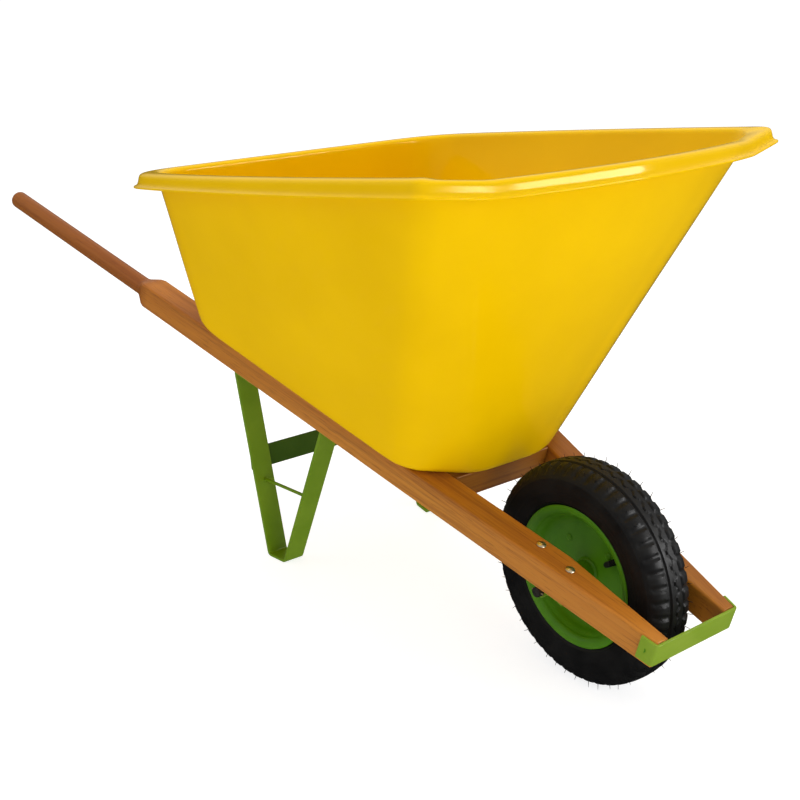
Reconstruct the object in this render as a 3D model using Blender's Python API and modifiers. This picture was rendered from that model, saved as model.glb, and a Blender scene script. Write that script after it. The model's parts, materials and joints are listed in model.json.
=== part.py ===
"""A garden wheelbarrow: a deep plastic tray on two splayed hardwood handles, with one pneumatic wheel.

Metres, +Z up, +X towards the wheel, +Y to the left of the person pushing. The wheelbarrow stands on its wheel
and two feet, and the origin is on the ground under the middle of its overall box.
Three frames are nested: `barrow` puts the ground point under the axle at its place, `deck` lies in the sloping
plane of the handles' top faces, and `wheel_axis` lies on the axle, about which the wheel turns.
In the deck frame a distance `s` is measured back from the handles' noses, so a point is at x = -s.
"""

import math

import bmesh
import bpy
from mathutils import Matrix, Vector

# Overall layout
AXLE_X = 0.5905
TYRE_RADIUS = 0.178
DECK_SLOPE = math.radians(14.35)
SPLAY = math.radians(9.05)
NOSE_X = 0.2126
NOSE_Z = 0.1843
GAP = 0.0003

# Handles
HANDLE_HALF_AT_NOSE = 0.0818
BEAM_WIDTH = 0.050
BEAM_HEIGHT = 0.048
BEAM_EDGE = 0.004
NOSE_WIDTH = 0.023
NOSE_TAPER = 0.1945
SHOULDER_START = 1.176
SHOULDER_END = 1.208
GRIP_END = 1.653
GRIP_RADIUS = 0.0175

# Crosspieces between the handles
CROSSPIECE_DEPTH = 0.038
FRONT_CROSSPIECE_S = 0.425
REAR_CROSSPIECE_S = 0.945

# Tray: corners of the floor in the deck frame, and of the lip in the barrow frame
TRAY_WALL = 0.004
FLOOR_FRONT = (0.409, 0.068)
FLOOR_SIDE = (0.470, 0.176)
FLOOR_REAR = (1.028, 0.258)
FLOOR_ROUND = (0.030, 0.040, 0.085)
FLOOR_FILLET = 0.024
LIP_FRONT = (0.050, 0.2476)
LIP_SIDE = (0.0205, 0.3482)
LIP_REAR = (-0.815, 0.350)
LIP_ROUND = (0.025, 0.015, 0.100)
WALL_ROUND = (0.030, 0.036, 0.085)
LIP_FRONT_BOW = 0.042
LIP_SIDE_BOW = 0.024
LIP_REAR_BOW = 0.006
LIP_Z = 0.8000
LIP_SLOPE = 0.135
LIP_FRONT_DROP = 0.012
RIM_OVERHANG = 0.034
# The rim's section: distance out from the wall's outer face, and height over the lip's lower edge
RIM_SECTION = (
    (0.0000, 0.0150), (0.0040, 0.0200), (0.0190, 0.0203), (0.0218, 0.0175), (0.0255, 0.0040),
    (0.0290, 0.0000), (0.0340, 0.0000), (0.0340, 0.0034), (0.0292, 0.0048), (0.0258, 0.0185),
    (0.0215, 0.0238), (0.0120, 0.0250), (0.0010, 0.0238), (-0.0040, 0.0190),
)

# Legs: one bent strap a side, its foot on the ground
STRAP_WIDTH = 0.038
STRAP_THICKNESS = 0.005
FOOT_REAR_X = -0.637
FOOT_FRONT_X = -0.590
FOOT_MID_Y = 0.1720
LEG_REAR_S = 0.910
LEG_FRONT_S = 0.681
LEG_TAB = 0.045
LEG_ROD_RADIUS = 0.003
LEG_ROD_Z = 0.150
BRACE_Z = 0.191
BRACE_WIDTH = 0.041
BRACE_THICKNESS = 0.004

# Nose guard
GUARD_THICKNESS = 0.004
GUARD_HEIGHT = 0.0385
GUARD_RETURN = 0.024
GUARD_MIDDLE_Z = -0.002 - GUARD_HEIGHT / 2

# Axle and its brackets
AXLE_RADIUS = 0.008
AXLE_HALF = 0.1115
AXLE_PIN_RADIUS = 0.0015
AXLE_PIN_Y = 0.1070
BRACKET_Y = 0.087
BRACKET_HALF_WIDTH = 0.015
BRACKET_HALF_LENGTH = 0.045
BRACKET_THICKNESS = 0.0025
BRACKET_PLATE = 0.002
BRACKET_BOLT_HALF_PITCH = 0.03175

# Wheel, turned about Y: (radius, distance from the middle plane)
RIM_THICKNESS = 0.0024
RIM_OUTER_FACE = (
    (0.0193, 0.0028), (0.0740, 0.0028), (0.0830, 0.0065), (0.0895, 0.0130), (0.0935, 0.0205), (0.0975, 0.0262),
    (0.0995, 0.0300), (0.1045, 0.0347), (0.1115, 0.0364), (0.1140, 0.0352),
)
RIM_INNER_FACE = (
    (0.1132, 0.0335), (0.1100, 0.0340), (0.1062, 0.0325), (0.1014, 0.0290), (0.0998, 0.0250), (0.0958, 0.0192),
    (0.0918, 0.0116), (0.0845, 0.0045), (0.0750, 0.0004), (0.0193, 0.0004),
)
TYRE_OUTER_FACE = (
    (0.1780, 0.0), (0.1768, 0.0170), (0.1725, 0.0295), (0.1610, 0.0385), (0.1470, 0.0415), (0.1300, 0.0402),
    (0.1182, 0.0378), (0.1152, 0.0338), (0.1062, 0.0300), (0.1022, 0.0272),
)
TYRE_INNER_FACE = (
    (0.1022, 0.0215), (0.1110, 0.0265), (0.1220, 0.0335), (0.1470, 0.0364), (0.1600, 0.0330), (0.1680, 0.0200),
    (0.1700, 0.0),
)
TUBE_MID_RADIUS = 0.142
TUBE_RADIUS = 0.0262
TUBE_WALL = 0.002
HUB_HALF = 0.050
HUB_RADIUS = 0.019
HUB_BORE = 0.0138
BEARING_LENGTH = 0.016
BEARING_FLANGE = 0.0025
SPACER_RADIUS = 0.0102
RIVET_CIRCLE = 0.058
RIVET_RADIUS = 0.003
RIVET_COUNT = 4
VALVE_ANGLE = math.radians(35)
VALVE_Y = -0.0100
VALVE_RADIUS = 0.0050
VALVE_END = 0.0570
VALVE_HOLE = 0.0062
VENT_HOLE = 0.0075
VENT_Y = 0.0125
RIM_WELL_SPAN = (0.070, 0.110)
TUBE_MOUTH = 0.003

# Fasteners
BOLT_RADIUS = 0.0031
BOLT_HEAD_RADIUS = 0.0075
BOLT_HEAD_HEIGHT = 0.0034
HOLE_CLEARANCE = 0.0004
NUT_RADIUS = 0.0062
NUT_HEIGHT = 0.005
BOLT_TAIL = 0.003
CUTTER_MARGIN = 0.020
SCREW_HEAD_RADIUS = 0.0042
SCREW_HEAD_DEPTH = 0.0028
SCREW_RADIUS = 0.0018
SCREW_LENGTH = 0.018
SCREW_POINT = 0.003

SMALL_STEPS = 12
ROUND_STEPS = 16
WHEEL_STEPS = 40
TUBE_STEPS = 20
TUBE_SIDES = 8

# Colours and finishes: (red, green, blue), roughness, metallic
YELLOW_PLASTIC = ((0.70, 0.43, 0.0), 0.3, 0.0)
HARDWOOD = ((0.42, 0.16, 0.045), 0.5, 0.0)
GREEN_PAINT = ((0.12, 0.28, 0.01), 0.45, 0.0)
BLACK_RUBBER = ((0.012, 0.012, 0.013), 0.75, 0.0)
ZINC_STEEL = ((0.62, 0.60, 0.55), 0.35, 1.0)
BLACK_PLASTIC = ((0.02, 0.02, 0.02), 0.4, 0.0)


def clear_scene():
    for thing in list(bpy.data.objects):
        bpy.data.objects.remove(thing, do_unlink=True)


def make_collection(name):
    collection = bpy.data.collections.new(name)
    bpy.context.scene.collection.children.link(collection)
    return collection


def make_frame(name, parent=None, location=(0, 0, 0), slope=0.0):
    frame = bpy.data.objects.new(name, None)
    frame.empty_display_size = 0.1
    frame.parent = parent
    frame.location = location
    frame.rotation_euler = (0, slope, 0)
    PARTS.objects.link(frame)
    return frame


clear_scene()
PARTS = make_collection("wheelbarrow")
CUTTERS = make_collection("cutters")
BARROW = make_frame("barrow", None, (AXLE_X, 0, 0))
DECK = make_frame("deck", BARROW, (NOSE_X, 0, NOSE_Z), DECK_SLOPE)
WHEEL_AXIS = make_frame("wheel_axis", BARROW, (0, 0, TYRE_RADIUS))
DECK_TO_BARROW = Matrix.Translation((NOSE_X, 0, NOSE_Z)) @ Matrix.Rotation(DECK_SLOPE, 4, "Y")
BARROW_TO_DECK = DECK_TO_BARROW.inverted()
AXLE_IN_DECK = BARROW_TO_DECK @ Vector((0, 0, TYRE_RADIUS))
TURNED_ABOUT_Y = (-math.pi / 2, 0, 0)
MATERIALS = {}


def material(name, look):
    """One Principled material for each sub-part."""
    if name not in MATERIALS:
        colour, roughness, metallic = look
        made = bpy.data.materials.new(name)
        made.use_nodes = True
        shader = made.node_tree.nodes["Principled BSDF"]
        shader.inputs["Base Color"].default_value = (*colour, 1)
        shader.inputs["Roughness"].default_value = roughness
        shader.inputs["Metallic"].default_value = metallic
        made.diffuse_color = (*colour, 1)
        MATERIALS[name] = made
    return MATERIALS[name]


def add_object(name, mesh, look, parent, location=(0, 0, 0), rotation=(0, 0, 0)):
    part = bpy.data.objects.new(name, mesh)
    part.parent = parent
    part.location = location
    part.rotation_euler = rotation
    PARTS.objects.link(part)
    if not mesh.materials:
        mesh.materials.append(material(name, look))
    return part


def add_cutter(name, mesh, parent, location=(0, 0, 0), rotation=(0, 0, 0)):
    cutter = bpy.data.objects.new(name, mesh)
    cutter.parent = parent
    cutter.location = location
    cutter.rotation_euler = rotation
    cutter.hide_render = True
    cutter.display_type = "WIRE"
    CUTTERS.objects.link(cutter)
    return cutter


def cut(part, cutter):
    boolean = part.modifiers.new(cutter.name, "BOOLEAN")
    boolean.operation = "DIFFERENCE"
    boolean.object = cutter


def mesh_from(builder, name, smooth_angle=35):
    """The mesh that `builder` fills in a bmesh, with its faces turned outwards."""
    work = bmesh.new()
    builder(work)
    bmesh.ops.recalc_face_normals(work, faces=work.faces)
    mesh = bpy.data.meshes.new(name)
    work.to_mesh(mesh)
    work.free()
    mesh.shade_smooth()
    mesh.set_sharp_from_angle(angle=math.radians(smooth_angle))
    return mesh


def rod_mesh(name, radius, low, high, steps=ROUND_STEPS):
    """A closed cylinder along Z from `low` to `high`."""
    def build(work):
        place = Matrix.Translation((0, 0, (low + high) / 2))
        bmesh.ops.create_cone(
            work, cap_ends=True, segments=steps, radius1=radius, radius2=radius, depth=high - low, matrix=place
        )
    return mesh_from(build, name)


def loft_mesh(name, rings, smooth_angle=35):
    """A closed skin through rings of equally many points, with a flat cap on each end."""
    def build(work):
        layers = [[work.verts.new(point) for point in ring] for ring in rings]
        for lower, upper in zip(layers, layers[1:]):
            for i in range(len(lower)):
                j = (i + 1) % len(lower)
                work.faces.new((lower[i], lower[j], upper[j], upper[i]))
        work.faces.new(layers[0])
        work.faces.new(layers[-1])
    return mesh_from(build, name, smooth_angle)


def plate_mesh(name, outline, half_thickness):
    """A flat outline in the XY plane, made solid by a 2D curve's extrusion along Z."""
    curve = bpy.data.curves.new(name, "CURVE")
    curve.dimensions = "2D"
    curve.fill_mode = "BOTH"
    curve.extrude = half_thickness
    spline = curve.splines.new("POLY")
    spline.points.add(len(outline) - 1)
    for point, (x, y) in zip(spline.points, outline):
        point.co = (x, y, 0, 1)
    spline.use_cyclic_u = True
    holder = bpy.data.objects.new(name, curve)
    bpy.context.scene.collection.objects.link(holder)
    graph = bpy.context.evaluated_depsgraph_get()
    mesh = bpy.data.meshes.new_from_object(holder.evaluated_get(graph))
    bpy.data.objects.remove(holder)
    bpy.data.curves.remove(curve)
    work = bmesh.new()
    work.from_mesh(mesh)
    bmesh.ops.remove_doubles(work, verts=work.verts, dist=1e-6)
    bmesh.ops.recalc_face_normals(work, faces=work.faces)
    work.to_mesh(mesh)
    work.free()
    mesh.name = name
    return mesh


def turned_part(name, profile, look, parent, steps, location=(0, 0, 0), rotation=(0, 0, 0), closed=False):
    """A profile of (radius, z) points turned about Z. A closed profile makes a ring."""
    mesh = bpy.data.meshes.new(name)
    count = len(profile)
    links = [(i, i + 1) for i in range(count - 1)]
    if closed:
        links.append((count - 1, 0))
    mesh.from_pydata([(radius, 0, z) for radius, z in profile], links, [])
    part = add_object(name, mesh, look, parent, location, rotation)
    screw = part.modifiers.new("turn", "SCREW")
    screw.steps = steps
    screw.render_steps = steps
    screw.use_merge_vertices = True
    screw.merge_threshold = 0.00001
    screw.use_smooth_shade = True
    return part


def side_name(side):
    return "left" if side > 0 else "right"


def handle_outer(s):
    return HANDLE_HALF_AT_NOSE + s * math.tan(SPLAY)


def handle_width(s):
    return NOSE_WIDTH + (BEAM_WIDTH - NOSE_WIDTH) * min(s / NOSE_TAPER, 1)


def handle_middle(s):
    return handle_outer(s) - handle_width(s) / 2


def soft_square(centre, across, up, half_width, half_height, corner):
    """Sixteen points round a rectangle with rounded corners, or a circle when the corner is the half width."""
    points = []
    for quarter in range(4):
        turn = quarter * math.pi / 2
        sign_u = 1 if quarter in (0, 3) else -1
        sign_v = 1 if quarter in (0, 1) else -1
        for step in range(4):
            angle = turn + math.radians(11.25 + 22.5 * step)
            u = sign_u * (half_width - corner) + corner * math.cos(angle)
            v = sign_v * (half_height - corner) + corner * math.sin(angle)
            points.append(centre + across * u + up * v)
    return points


def make_handle(side):
    """A square beam, tapered on its inner face at the nose, whose rear end is turned down to a round grip."""
    up = Vector((0, 0, 1))
    across = Vector((0, 1, 0))
    across_grip = Vector((math.sin(SPLAY), math.cos(SPLAY), 0))
    rings = []
    for s in (0, NOSE_TAPER, SHOULDER_START):
        centre = Vector((-s, handle_middle(s), -BEAM_HEIGHT / 2))
        rings.append(soft_square(centre, across, up, handle_width(s) / 2, BEAM_HEIGHT / 2, BEAM_EDGE))
    end_round = GRIP_RADIUS * 0.4
    for s, radius in (
        (SHOULDER_END, GRIP_RADIUS), (GRIP_END - end_round, GRIP_RADIUS),
        (GRIP_END - end_round * 0.3, GRIP_RADIUS - end_round * 0.3), (GRIP_END, GRIP_RADIUS - end_round),
    ):
        centre = Vector((-s, handle_middle(s), -BEAM_HEIGHT / 2))
        rings.append(soft_square(centre, across_grip, up, radius, radius, radius))
    for ring in rings:
        for point in ring:
            point.y *= side
    name = f"handle_{side_name(side)}"
    return add_object(name, loft_mesh(name, rings, 30), HARDWOOD, DECK)


def make_crosspiece(name, front_s):
    """A wooden block whose ends lie against the handles' inner faces."""
    rear_s = front_s + CROSSPIECE_DEPTH
    front = handle_outer(front_s) - BEAM_WIDTH - GAP
    rear = handle_outer(rear_s) - BEAM_WIDTH - GAP
    outline = [(-front_s, -front), (-front_s, front), (-rear_s, rear), (-rear_s, -rear)]
    block = plate_mesh(name, outline, BEAM_HEIGHT / 2)
    return add_object(name, block, HARDWOOD, DECK, (0, 0, -BEAM_HEIGHT / 2))


def corner_points(before, corner, after, steps):
    """A corner rounded by a quadratic curve between the points `before` and `after` it."""
    points = []
    for step in range(steps + 1):
        t = step / steps
        points.append(before * (1 - t) ** 2 + corner * (2 * t * (1 - t)) + after * t ** 2)
    return points


def half_outline(front, side, rear, rounds, front_bow=0.0, side_bow=0.0, rear_bow=0.0):
    """The left half of a tray outline, from its front middle to its rear middle, as (x, y) vectors."""
    front, side, rear = Vector(front), Vector(side), Vector(rear)

    def along_front(y):
        return Vector((front.x + front_bow * (1 - (y / front.y) ** 2), y))

    def along_side(t):
        point = side.lerp(rear, t)
        point.y += side_bow * 4 * t * (1 - t)
        return point

    def along_rear(y):
        return Vector((rear.x - rear_bow * (1 - (y / rear.y) ** 2), y))

    chamfer = (side - front).normalized()
    side_length = (rear - side).length
    points = [along_front(y) for y in (0, (front.y - rounds[0]) * 0.5)]
    points += corner_points(along_front(front.y - rounds[0]), front, front + chamfer * rounds[0], 2)
    points += corner_points(side - chamfer * rounds[1], side, along_side(rounds[1] / side_length), 3)
    points += [along_side(t) for t in (0.3, 0.5, 0.7)]
    points += corner_points(along_side(1 - rounds[2] / side_length), rear, along_rear(rear.y - rounds[2]), 5)
    points += [along_rear(y) for y in ((rear.y - rounds[2]) * 0.5, 0)]
    return points


def whole_outline(half):
    return half + [Vector((point.x, -point.y)) for point in reversed(half[1:-1])]


def offset_corners(corners, inset):
    """The corners of a half outline after each of its edges has moved in by `inset`."""
    front, side, rear = (Vector(corner) for corner in corners)
    edges = [side - front, rear - side]
    normals = [Vector((1, 0))] + [Vector((edge.y, -edge.x)).normalized() for edge in edges] + [Vector((-1, 0))]
    moved = []
    for corner, before, after in zip((front, side, rear), normals, normals[1:]):
        moved.append(corner - (before + after) * (inset / (1 + before.dot(after))))
    return moved


def lip_height(x, inset):
    """The height of the lip's plane, which dips over the chamfered corners to the front edge."""
    drop = LIP_FRONT_DROP * min(max((x + inset - LIP_SIDE[0]) / (LIP_FRONT[0] - LIP_SIDE[0]), 0), 1)
    return LIP_Z + LIP_SLOPE * (x - LIP_SIDE[0]) - drop


def tray_rings():
    """Rings of the tray's section, from the floor's underside over the rim to the floor's upper face."""
    floor_corners = [(-s, y) for s, y in (FLOOR_FRONT, FLOOR_SIDE, FLOOR_REAR)]

    def rim_ring(out, up):
        share = (RIM_OVERHANG - out) / RIM_OVERHANG
        rounds = [lip * (1 - share) + wall * share for lip, wall in zip(LIP_ROUND, WALL_ROUND)]
        corners = offset_corners((LIP_FRONT, LIP_SIDE, LIP_REAR), RIM_OVERHANG - out)
        flat = whole_outline(half_outline(*corners, rounds, LIP_FRONT_BOW, LIP_SIDE_BOW, LIP_REAR_BOW))
        return [Vector((point.x, point.y, lip_height(point.x, RIM_OVERHANG - out) + up)) for point in flat]

    def floor_ring(inset, height):
        flat = whole_outline(half_outline(*offset_corners(floor_corners, inset), FLOOR_ROUND))
        return [DECK_TO_BARROW @ Vector((point.x, point.y, height)) for point in flat]

    def wall_foot(edge, top):
        return [low + (high - low).normalized() * FLOOR_FILLET for low, high in zip(edge, top)]

    def fillet_middle(inner, edge, foot):
        return [a * 0.25 + b * 0.5 + c * 0.25 for a, b, c in zip(inner, edge, foot)]

    rim = [rim_ring(out, up) for out, up in RIM_SECTION]
    outer_flat = floor_ring(FLOOR_FILLET, GAP)
    outer_edge = floor_ring(0, GAP)
    outer_foot = wall_foot(outer_edge, rim[0])
    inner_flat = floor_ring(FLOOR_FILLET + TRAY_WALL, GAP + TRAY_WALL)
    inner_edge = floor_ring(TRAY_WALL, GAP + TRAY_WALL)
    inner_foot = wall_foot(inner_edge, rim[-1])
    return [
        outer_flat, fillet_middle(outer_flat, outer_edge, outer_foot), outer_foot, *rim,
        inner_foot, fillet_middle(inner_flat, inner_edge, inner_foot), inner_flat,
    ]


def make_tray():
    return add_object("tray", loft_mesh("tray", tray_rings(), 40), YELLOW_PLASTIC, BARROW)


def strap_outline(path, thickness):
    """The outline of a strap with one face along `path` and the other on its left, mitred at the bends."""
    outer = []
    for i, point in enumerate(path):
        before = (point - path[i - 1]).normalized() if i > 0 else None
        after = (path[i + 1] - point).normalized() if i < len(path) - 1 else None
        ahead = before or after
        behind = after or before
        normals = [Vector((-d.y, d.x)) for d in (ahead, behind)]
        mitre = (normals[0] + normals[1]).normalized()
        outer.append(point + mitre * (thickness / mitre.dot(normals[0])))
    return list(path) + outer[::-1]


def leg_path():
    """The leg strap's outer face in its own plane, from the tab of the rear arm to the tab of the front one."""
    def under_handle(s):
        point = DECK_TO_BARROW @ Vector((-s, 0, -BEAM_HEIGHT - GAP))
        return Vector((point.x, point.z))

    return [
        under_handle(LEG_REAR_S - LEG_TAB), under_handle(LEG_REAR_S), Vector((FOOT_REAR_X, 0)),
        Vector((FOOT_FRONT_X, 0)), under_handle(LEG_FRONT_S), under_handle(LEG_FRONT_S + LEG_TAB),
    ]


def leg_shear(side):
    """Puts a strap drawn upright in the XZ plane under its handle: splayed in plan, and leaning out upwards."""
    top_x = (DECK_TO_BARROW @ Vector((-LEG_REAR_S, 0, -BEAM_HEIGHT))).x
    top_z = (DECK_TO_BARROW @ Vector((-LEG_REAR_S, 0, -BEAM_HEIGHT))).z
    foot_x = (FOOT_REAR_X + FOOT_FRONT_X) / 2
    spread = math.tan(SPLAY) / math.cos(DECK_SLOPE)
    lean = (handle_middle(LEG_REAR_S) - FOOT_MID_Y - spread * (foot_x - top_x)) / top_z
    shear = Matrix.Identity(4)
    shear[1][0] = -spread * side
    shear[1][2] = lean * side
    shear[1][3] = (FOOT_MID_Y + spread * foot_x) * side
    return shear


def upright(mesh):
    """Stands a mesh drawn in the XY plane up in the XZ plane."""
    mesh.transform(Matrix.Rotation(math.pi / 2, 4, "X"))
    return mesh


def make_leg(side):
    name = f"leg_{side_name(side)}"
    mesh = upright(plate_mesh(name, strap_outline(leg_path(), STRAP_THICKNESS), STRAP_WIDTH / 2))
    mesh.transform(leg_shear(side))
    return add_object(name, mesh, GREEN_PAINT, BARROW)


def arm_at(foot, top, z):
    """Where the outer face of a leg's arm is at height z, and how far the arm leans from upright."""
    lean = math.atan2(top.x - foot.x, top.y - foot.y)
    return foot.x + (z - foot.y) * math.tan(lean), lean


def make_leg_rod(side):
    """A thin tie rod between the two arms of a leg."""
    _, rear_top, rear_foot, front_foot, front_top, _ = leg_path()
    ends = []
    for foot, top, inwards in ((rear_foot, rear_top, 1), (front_foot, front_top, -1)):
        x, lean = arm_at(foot, top, LEG_ROD_Z)
        clear = STRAP_THICKNESS / math.cos(lean) + LEG_ROD_RADIUS * abs(math.tan(lean)) + 2 * GAP
        ends.append(leg_shear(side) @ Vector((x + inwards * clear, 0, LEG_ROD_Z)))
    start, end = ends
    name = f"leg_rod_{side_name(side)}"
    mesh = rod_mesh(name, LEG_ROD_RADIUS, 0, (end - start).length, SMALL_STEPS)
    turn = (end - start).to_track_quat("Z", "Y").to_euler()
    return add_object(name, mesh, GREEN_PAINT, BARROW, start, turn)


def make_leg_brace():
    """A flat bar welded across the backs of the two rear arms."""
    _, rear_top, rear_foot, _, _, _ = leg_path()
    x, lean = arm_at(rear_foot, rear_top, BRACE_Z)
    reach = (leg_shear(1) @ Vector((x, 0, BRACE_Z))).y + STRAP_WIDTH * 0.45
    outline = [(-BRACE_THICKNESS, -reach), (0, -reach), (0, reach), (-BRACE_THICKNESS, reach)]
    mesh = plate_mesh("leg_brace", outline, BRACE_WIDTH / 2)
    return add_object("leg_brace", mesh, GREEN_PAINT, BARROW, (x - 2 * GAP, 0, BRACE_Z), (0, lean, 0))


def make_nose_guard():
    """A flat bar bent round the noses of both handles."""
    out = handle_outer(0) + GAP
    back = Vector((-GUARD_RETURN, GUARD_RETURN * math.tan(SPLAY)))
    left = [Vector((GAP, 0)), Vector((GAP, out)), Vector((0, out)) + back]
    inner = [Vector((p.x, -p.y)) for p in reversed(left[1:])] + left[1:]
    mesh = plate_mesh("nose_guard", strap_outline(inner, -GUARD_THICKNESS), GUARD_HEIGHT / 2)
    return add_object("nose_guard", mesh, GREEN_PAINT, DECK, (0, 0, GUARD_MIDDLE_Z))


def make_bracket(side):
    """A saddle strap that holds the axle up against a plate under the handle, and that plate."""
    axle = AXLE_IN_DECK
    plate_top = -BEAM_HEIGHT - GAP - axle.z
    ear_top = plate_top - BRACKET_PLATE - GAP
    ear_low = ear_top - BRACKET_THICKNESS
    inner = AXLE_RADIUS + GAP
    outer = inner + BRACKET_THICKNESS
    angles = [math.pi * (1 + i / 8) for i in range(9)]
    loop_in = [(inner * math.cos(a), inner * math.sin(a)) for a in angles]
    loop_out = [(outer * math.cos(a), outer * math.sin(a)) for a in reversed(angles)]
    half = BRACKET_HALF_LENGTH
    outline = [
        (-half, ear_top), (-inner, ear_top), *loop_in, (inner, ear_top), (half, ear_top),
        (half, ear_low), (outer, ear_low), *loop_out, (-outer, ear_low), (-half, ear_low),
    ]
    name = f"axle_bracket_{side_name(side)}"
    place = (axle.x, BRACKET_Y * side, axle.z)
    saddle = add_object(name, upright(plate_mesh(name, outline, BRACKET_HALF_WIDTH)), GREEN_PAINT, DECK, place)
    plate_name = f"axle_plate_{side_name(side)}"
    rectangle = [(-half, -BRACKET_HALF_WIDTH), (half, -BRACKET_HALF_WIDTH),
                 (half, BRACKET_HALF_WIDTH), (-half, BRACKET_HALF_WIDTH)]
    plate = add_object(
        plate_name, plate_mesh(plate_name, rectangle, BRACKET_PLATE / 2), GREEN_PAINT, DECK,
        (axle.x, BRACKET_Y * side, axle.z + plate_top - BRACKET_PLATE / 2),
    )
    return saddle, plate


def carriage_bolt_profile(length):
    """A low domed head over a plain shank that reaches `length` below it."""
    top = BOLT_HEAD_HEIGHT
    wide = BOLT_HEAD_RADIUS
    return [
        (0, top), (wide * 0.45, top * 0.9), (wide * 0.8, top * 0.55), (wide, top * 0.1), (wide, 0),
        (BOLT_RADIUS, 0), (BOLT_RADIUS, -length), (0, -length),
    ]


def hex_nut_mesh(name):
    """A six-sided nut from z = 0 down, with a round bore."""
    def build(work):
        bore = BOLT_RADIUS + HOLE_CLEARANCE / 2
        outer = []
        inner = []
        for i in range(12):
            angle = math.pi * i / 6
            flat = math.cos(((i % 2) * 30) * math.pi / 180)
            reach = NUT_RADIUS * (1 if i % 2 == 0 else flat)
            outer.append((reach * math.cos(angle), reach * math.sin(angle)))
            inner.append((bore * math.cos(angle), bore * math.sin(angle)))
        loops = [(outer, 0), (outer, -NUT_HEIGHT), (inner, -NUT_HEIGHT), (inner, 0)]
        layers = [[work.verts.new((x, y, z)) for x, y in ring] for ring, z in loops]
        for k in range(4):
            first, second = layers[k], layers[(k + 1) % 4]
            for i in range(12):
                j = (i + 1) % 12
                work.faces.new((first[i], first[j], second[j], second[i]))
    return mesh_from(build, name)


def add_bolt(name, s, y, top, bottom, through):
    """A carriage bolt square to the deck from `top` to `bottom`, its nut, and its hole in each of `through`."""
    length = top - bottom + NUT_HEIGHT + BOLT_TAIL
    turned_part(
        f"{name}_bolt", carriage_bolt_profile(length), ZINC_STEEL, DECK, SMALL_STEPS, (-s, y, top + GAP)
    )
    add_object(f"{name}_nut", hex_nut_mesh(f"{name}_nut"), ZINC_STEEL, DECK, (-s, y, bottom - GAP))
    hole = rod_mesh(
        f"{name}_hole", BOLT_RADIUS + HOLE_CLEARANCE, bottom - CUTTER_MARGIN, top + CUTTER_MARGIN, SMALL_STEPS
    )
    cutter = add_cutter(f"{name}_hole", hole, DECK, (-s, y, 0))
    for part in through:
        cut(part, cutter)


def make_deck_bolts(tray, handles, legs, brackets, crosspiece):
    """Bolts through the handles for the axle brackets and the legs, and through the front crosspiece."""
    axle = AXLE_IN_DECK
    floor_top = GAP + TRAY_WALL
    bracket_low = -BEAM_HEIGHT - 2 * GAP - BRACKET_PLATE - BRACKET_THICKNESS
    tab_low = -BEAM_HEIGHT - GAP - STRAP_THICKNESS
    for side in (1, -1):
        where = side_name(side)
        for end, shift in (("front", -1), ("rear", 1)):
            s = -axle.x + shift * BRACKET_BOLT_HALF_PITCH
            through = [handles[side], *brackets[side]]
            add_bolt(f"bracket_{where}_{end}", s, BRACKET_Y * side, 0, bracket_low, through)
        for end, s in (("rear", LEG_REAR_S - LEG_TAB * 0.6), ("front", LEG_FRONT_S + LEG_TAB * 0.6)):
            through = [tray, handles[side], legs[side]]
            add_bolt(f"leg_{where}_{end}", s, handle_middle(s) * side, floor_top, tab_low, through)
    middle = FRONT_CROSSPIECE_S + CROSSPIECE_DEPTH / 2
    add_bolt("tray_front", middle, 0, floor_top, -BEAM_HEIGHT, [tray, crosspiece])


def make_guard_screw(side, guard, handle):
    """A countersunk wood screw through the guard's return into the handle's outer face."""
    s = GUARD_RETURN * 0.6
    face = Vector((-s, (handle_outer(s) + GAP + GUARD_THICKNESS) * side, GUARD_MIDDLE_Z))
    turn = (math.radians(-90 * side), 0, SPLAY * side)
    name = f"guard_screw_{side_name(side)}"
    profile = [
        (0, -GAP), (SCREW_HEAD_RADIUS, -GAP), (SCREW_RADIUS, -SCREW_HEAD_DEPTH), (SCREW_RADIUS, -SCREW_LENGTH),
        (0, -SCREW_LENGTH - SCREW_POINT),
    ]
    turned_part(name, profile, GREEN_PAINT, DECK, SMALL_STEPS, face, turn)
    mouth, bore, depth = SCREW_HEAD_RADIUS + GAP, SCREW_RADIUS + GAP, SCREW_LENGTH + SCREW_POINT + 2 * GAP
    above = SCREW_HEAD_DEPTH - GAP
    room = [
        (0, above), (mouth + above, above), (mouth, 0), (bore, -SCREW_HEAD_DEPTH - GAP), (bore, -depth),
        (0, -depth),
    ]
    cutter = turned_part(f"{name}_hole", room, GREEN_PAINT, DECK, SMALL_STEPS, face, turn)
    PARTS.objects.unlink(cutter)
    CUTTERS.objects.link(cutter)
    cutter.hide_render = True
    cutter.display_type = "WIRE"
    cut(guard, cutter)
    cut(handle, cutter)


def make_axle():
    """A plain rod through both brackets, with a cross pin outside each."""
    axle = add_object("axle", rod_mesh("axle", AXLE_RADIUS, -AXLE_HALF, AXLE_HALF), ZINC_STEEL, WHEEL_AXIS,
                      (0, 0, 0), TURNED_ABOUT_Y)
    pin_half = AXLE_RADIUS + 0.004
    for side in (1, -1):
        name = f"axle_pin_{side_name(side)}"
        place = (0, AXLE_PIN_Y * side, 0)
        along_x = (0, math.pi / 2, 0)
        pin = rod_mesh(name, AXLE_PIN_RADIUS, -pin_half, pin_half, SMALL_STEPS)
        add_object(name, pin, ZINC_STEEL, WHEEL_AXIS, place, along_x)
        hole = rod_mesh(f"{name}_hole", AXLE_PIN_RADIUS + GAP, -pin_half * 2, pin_half * 2, SMALL_STEPS)
        cut(axle, add_cutter(f"{name}_hole", hole, WHEEL_AXIS, place, along_x))


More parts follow.
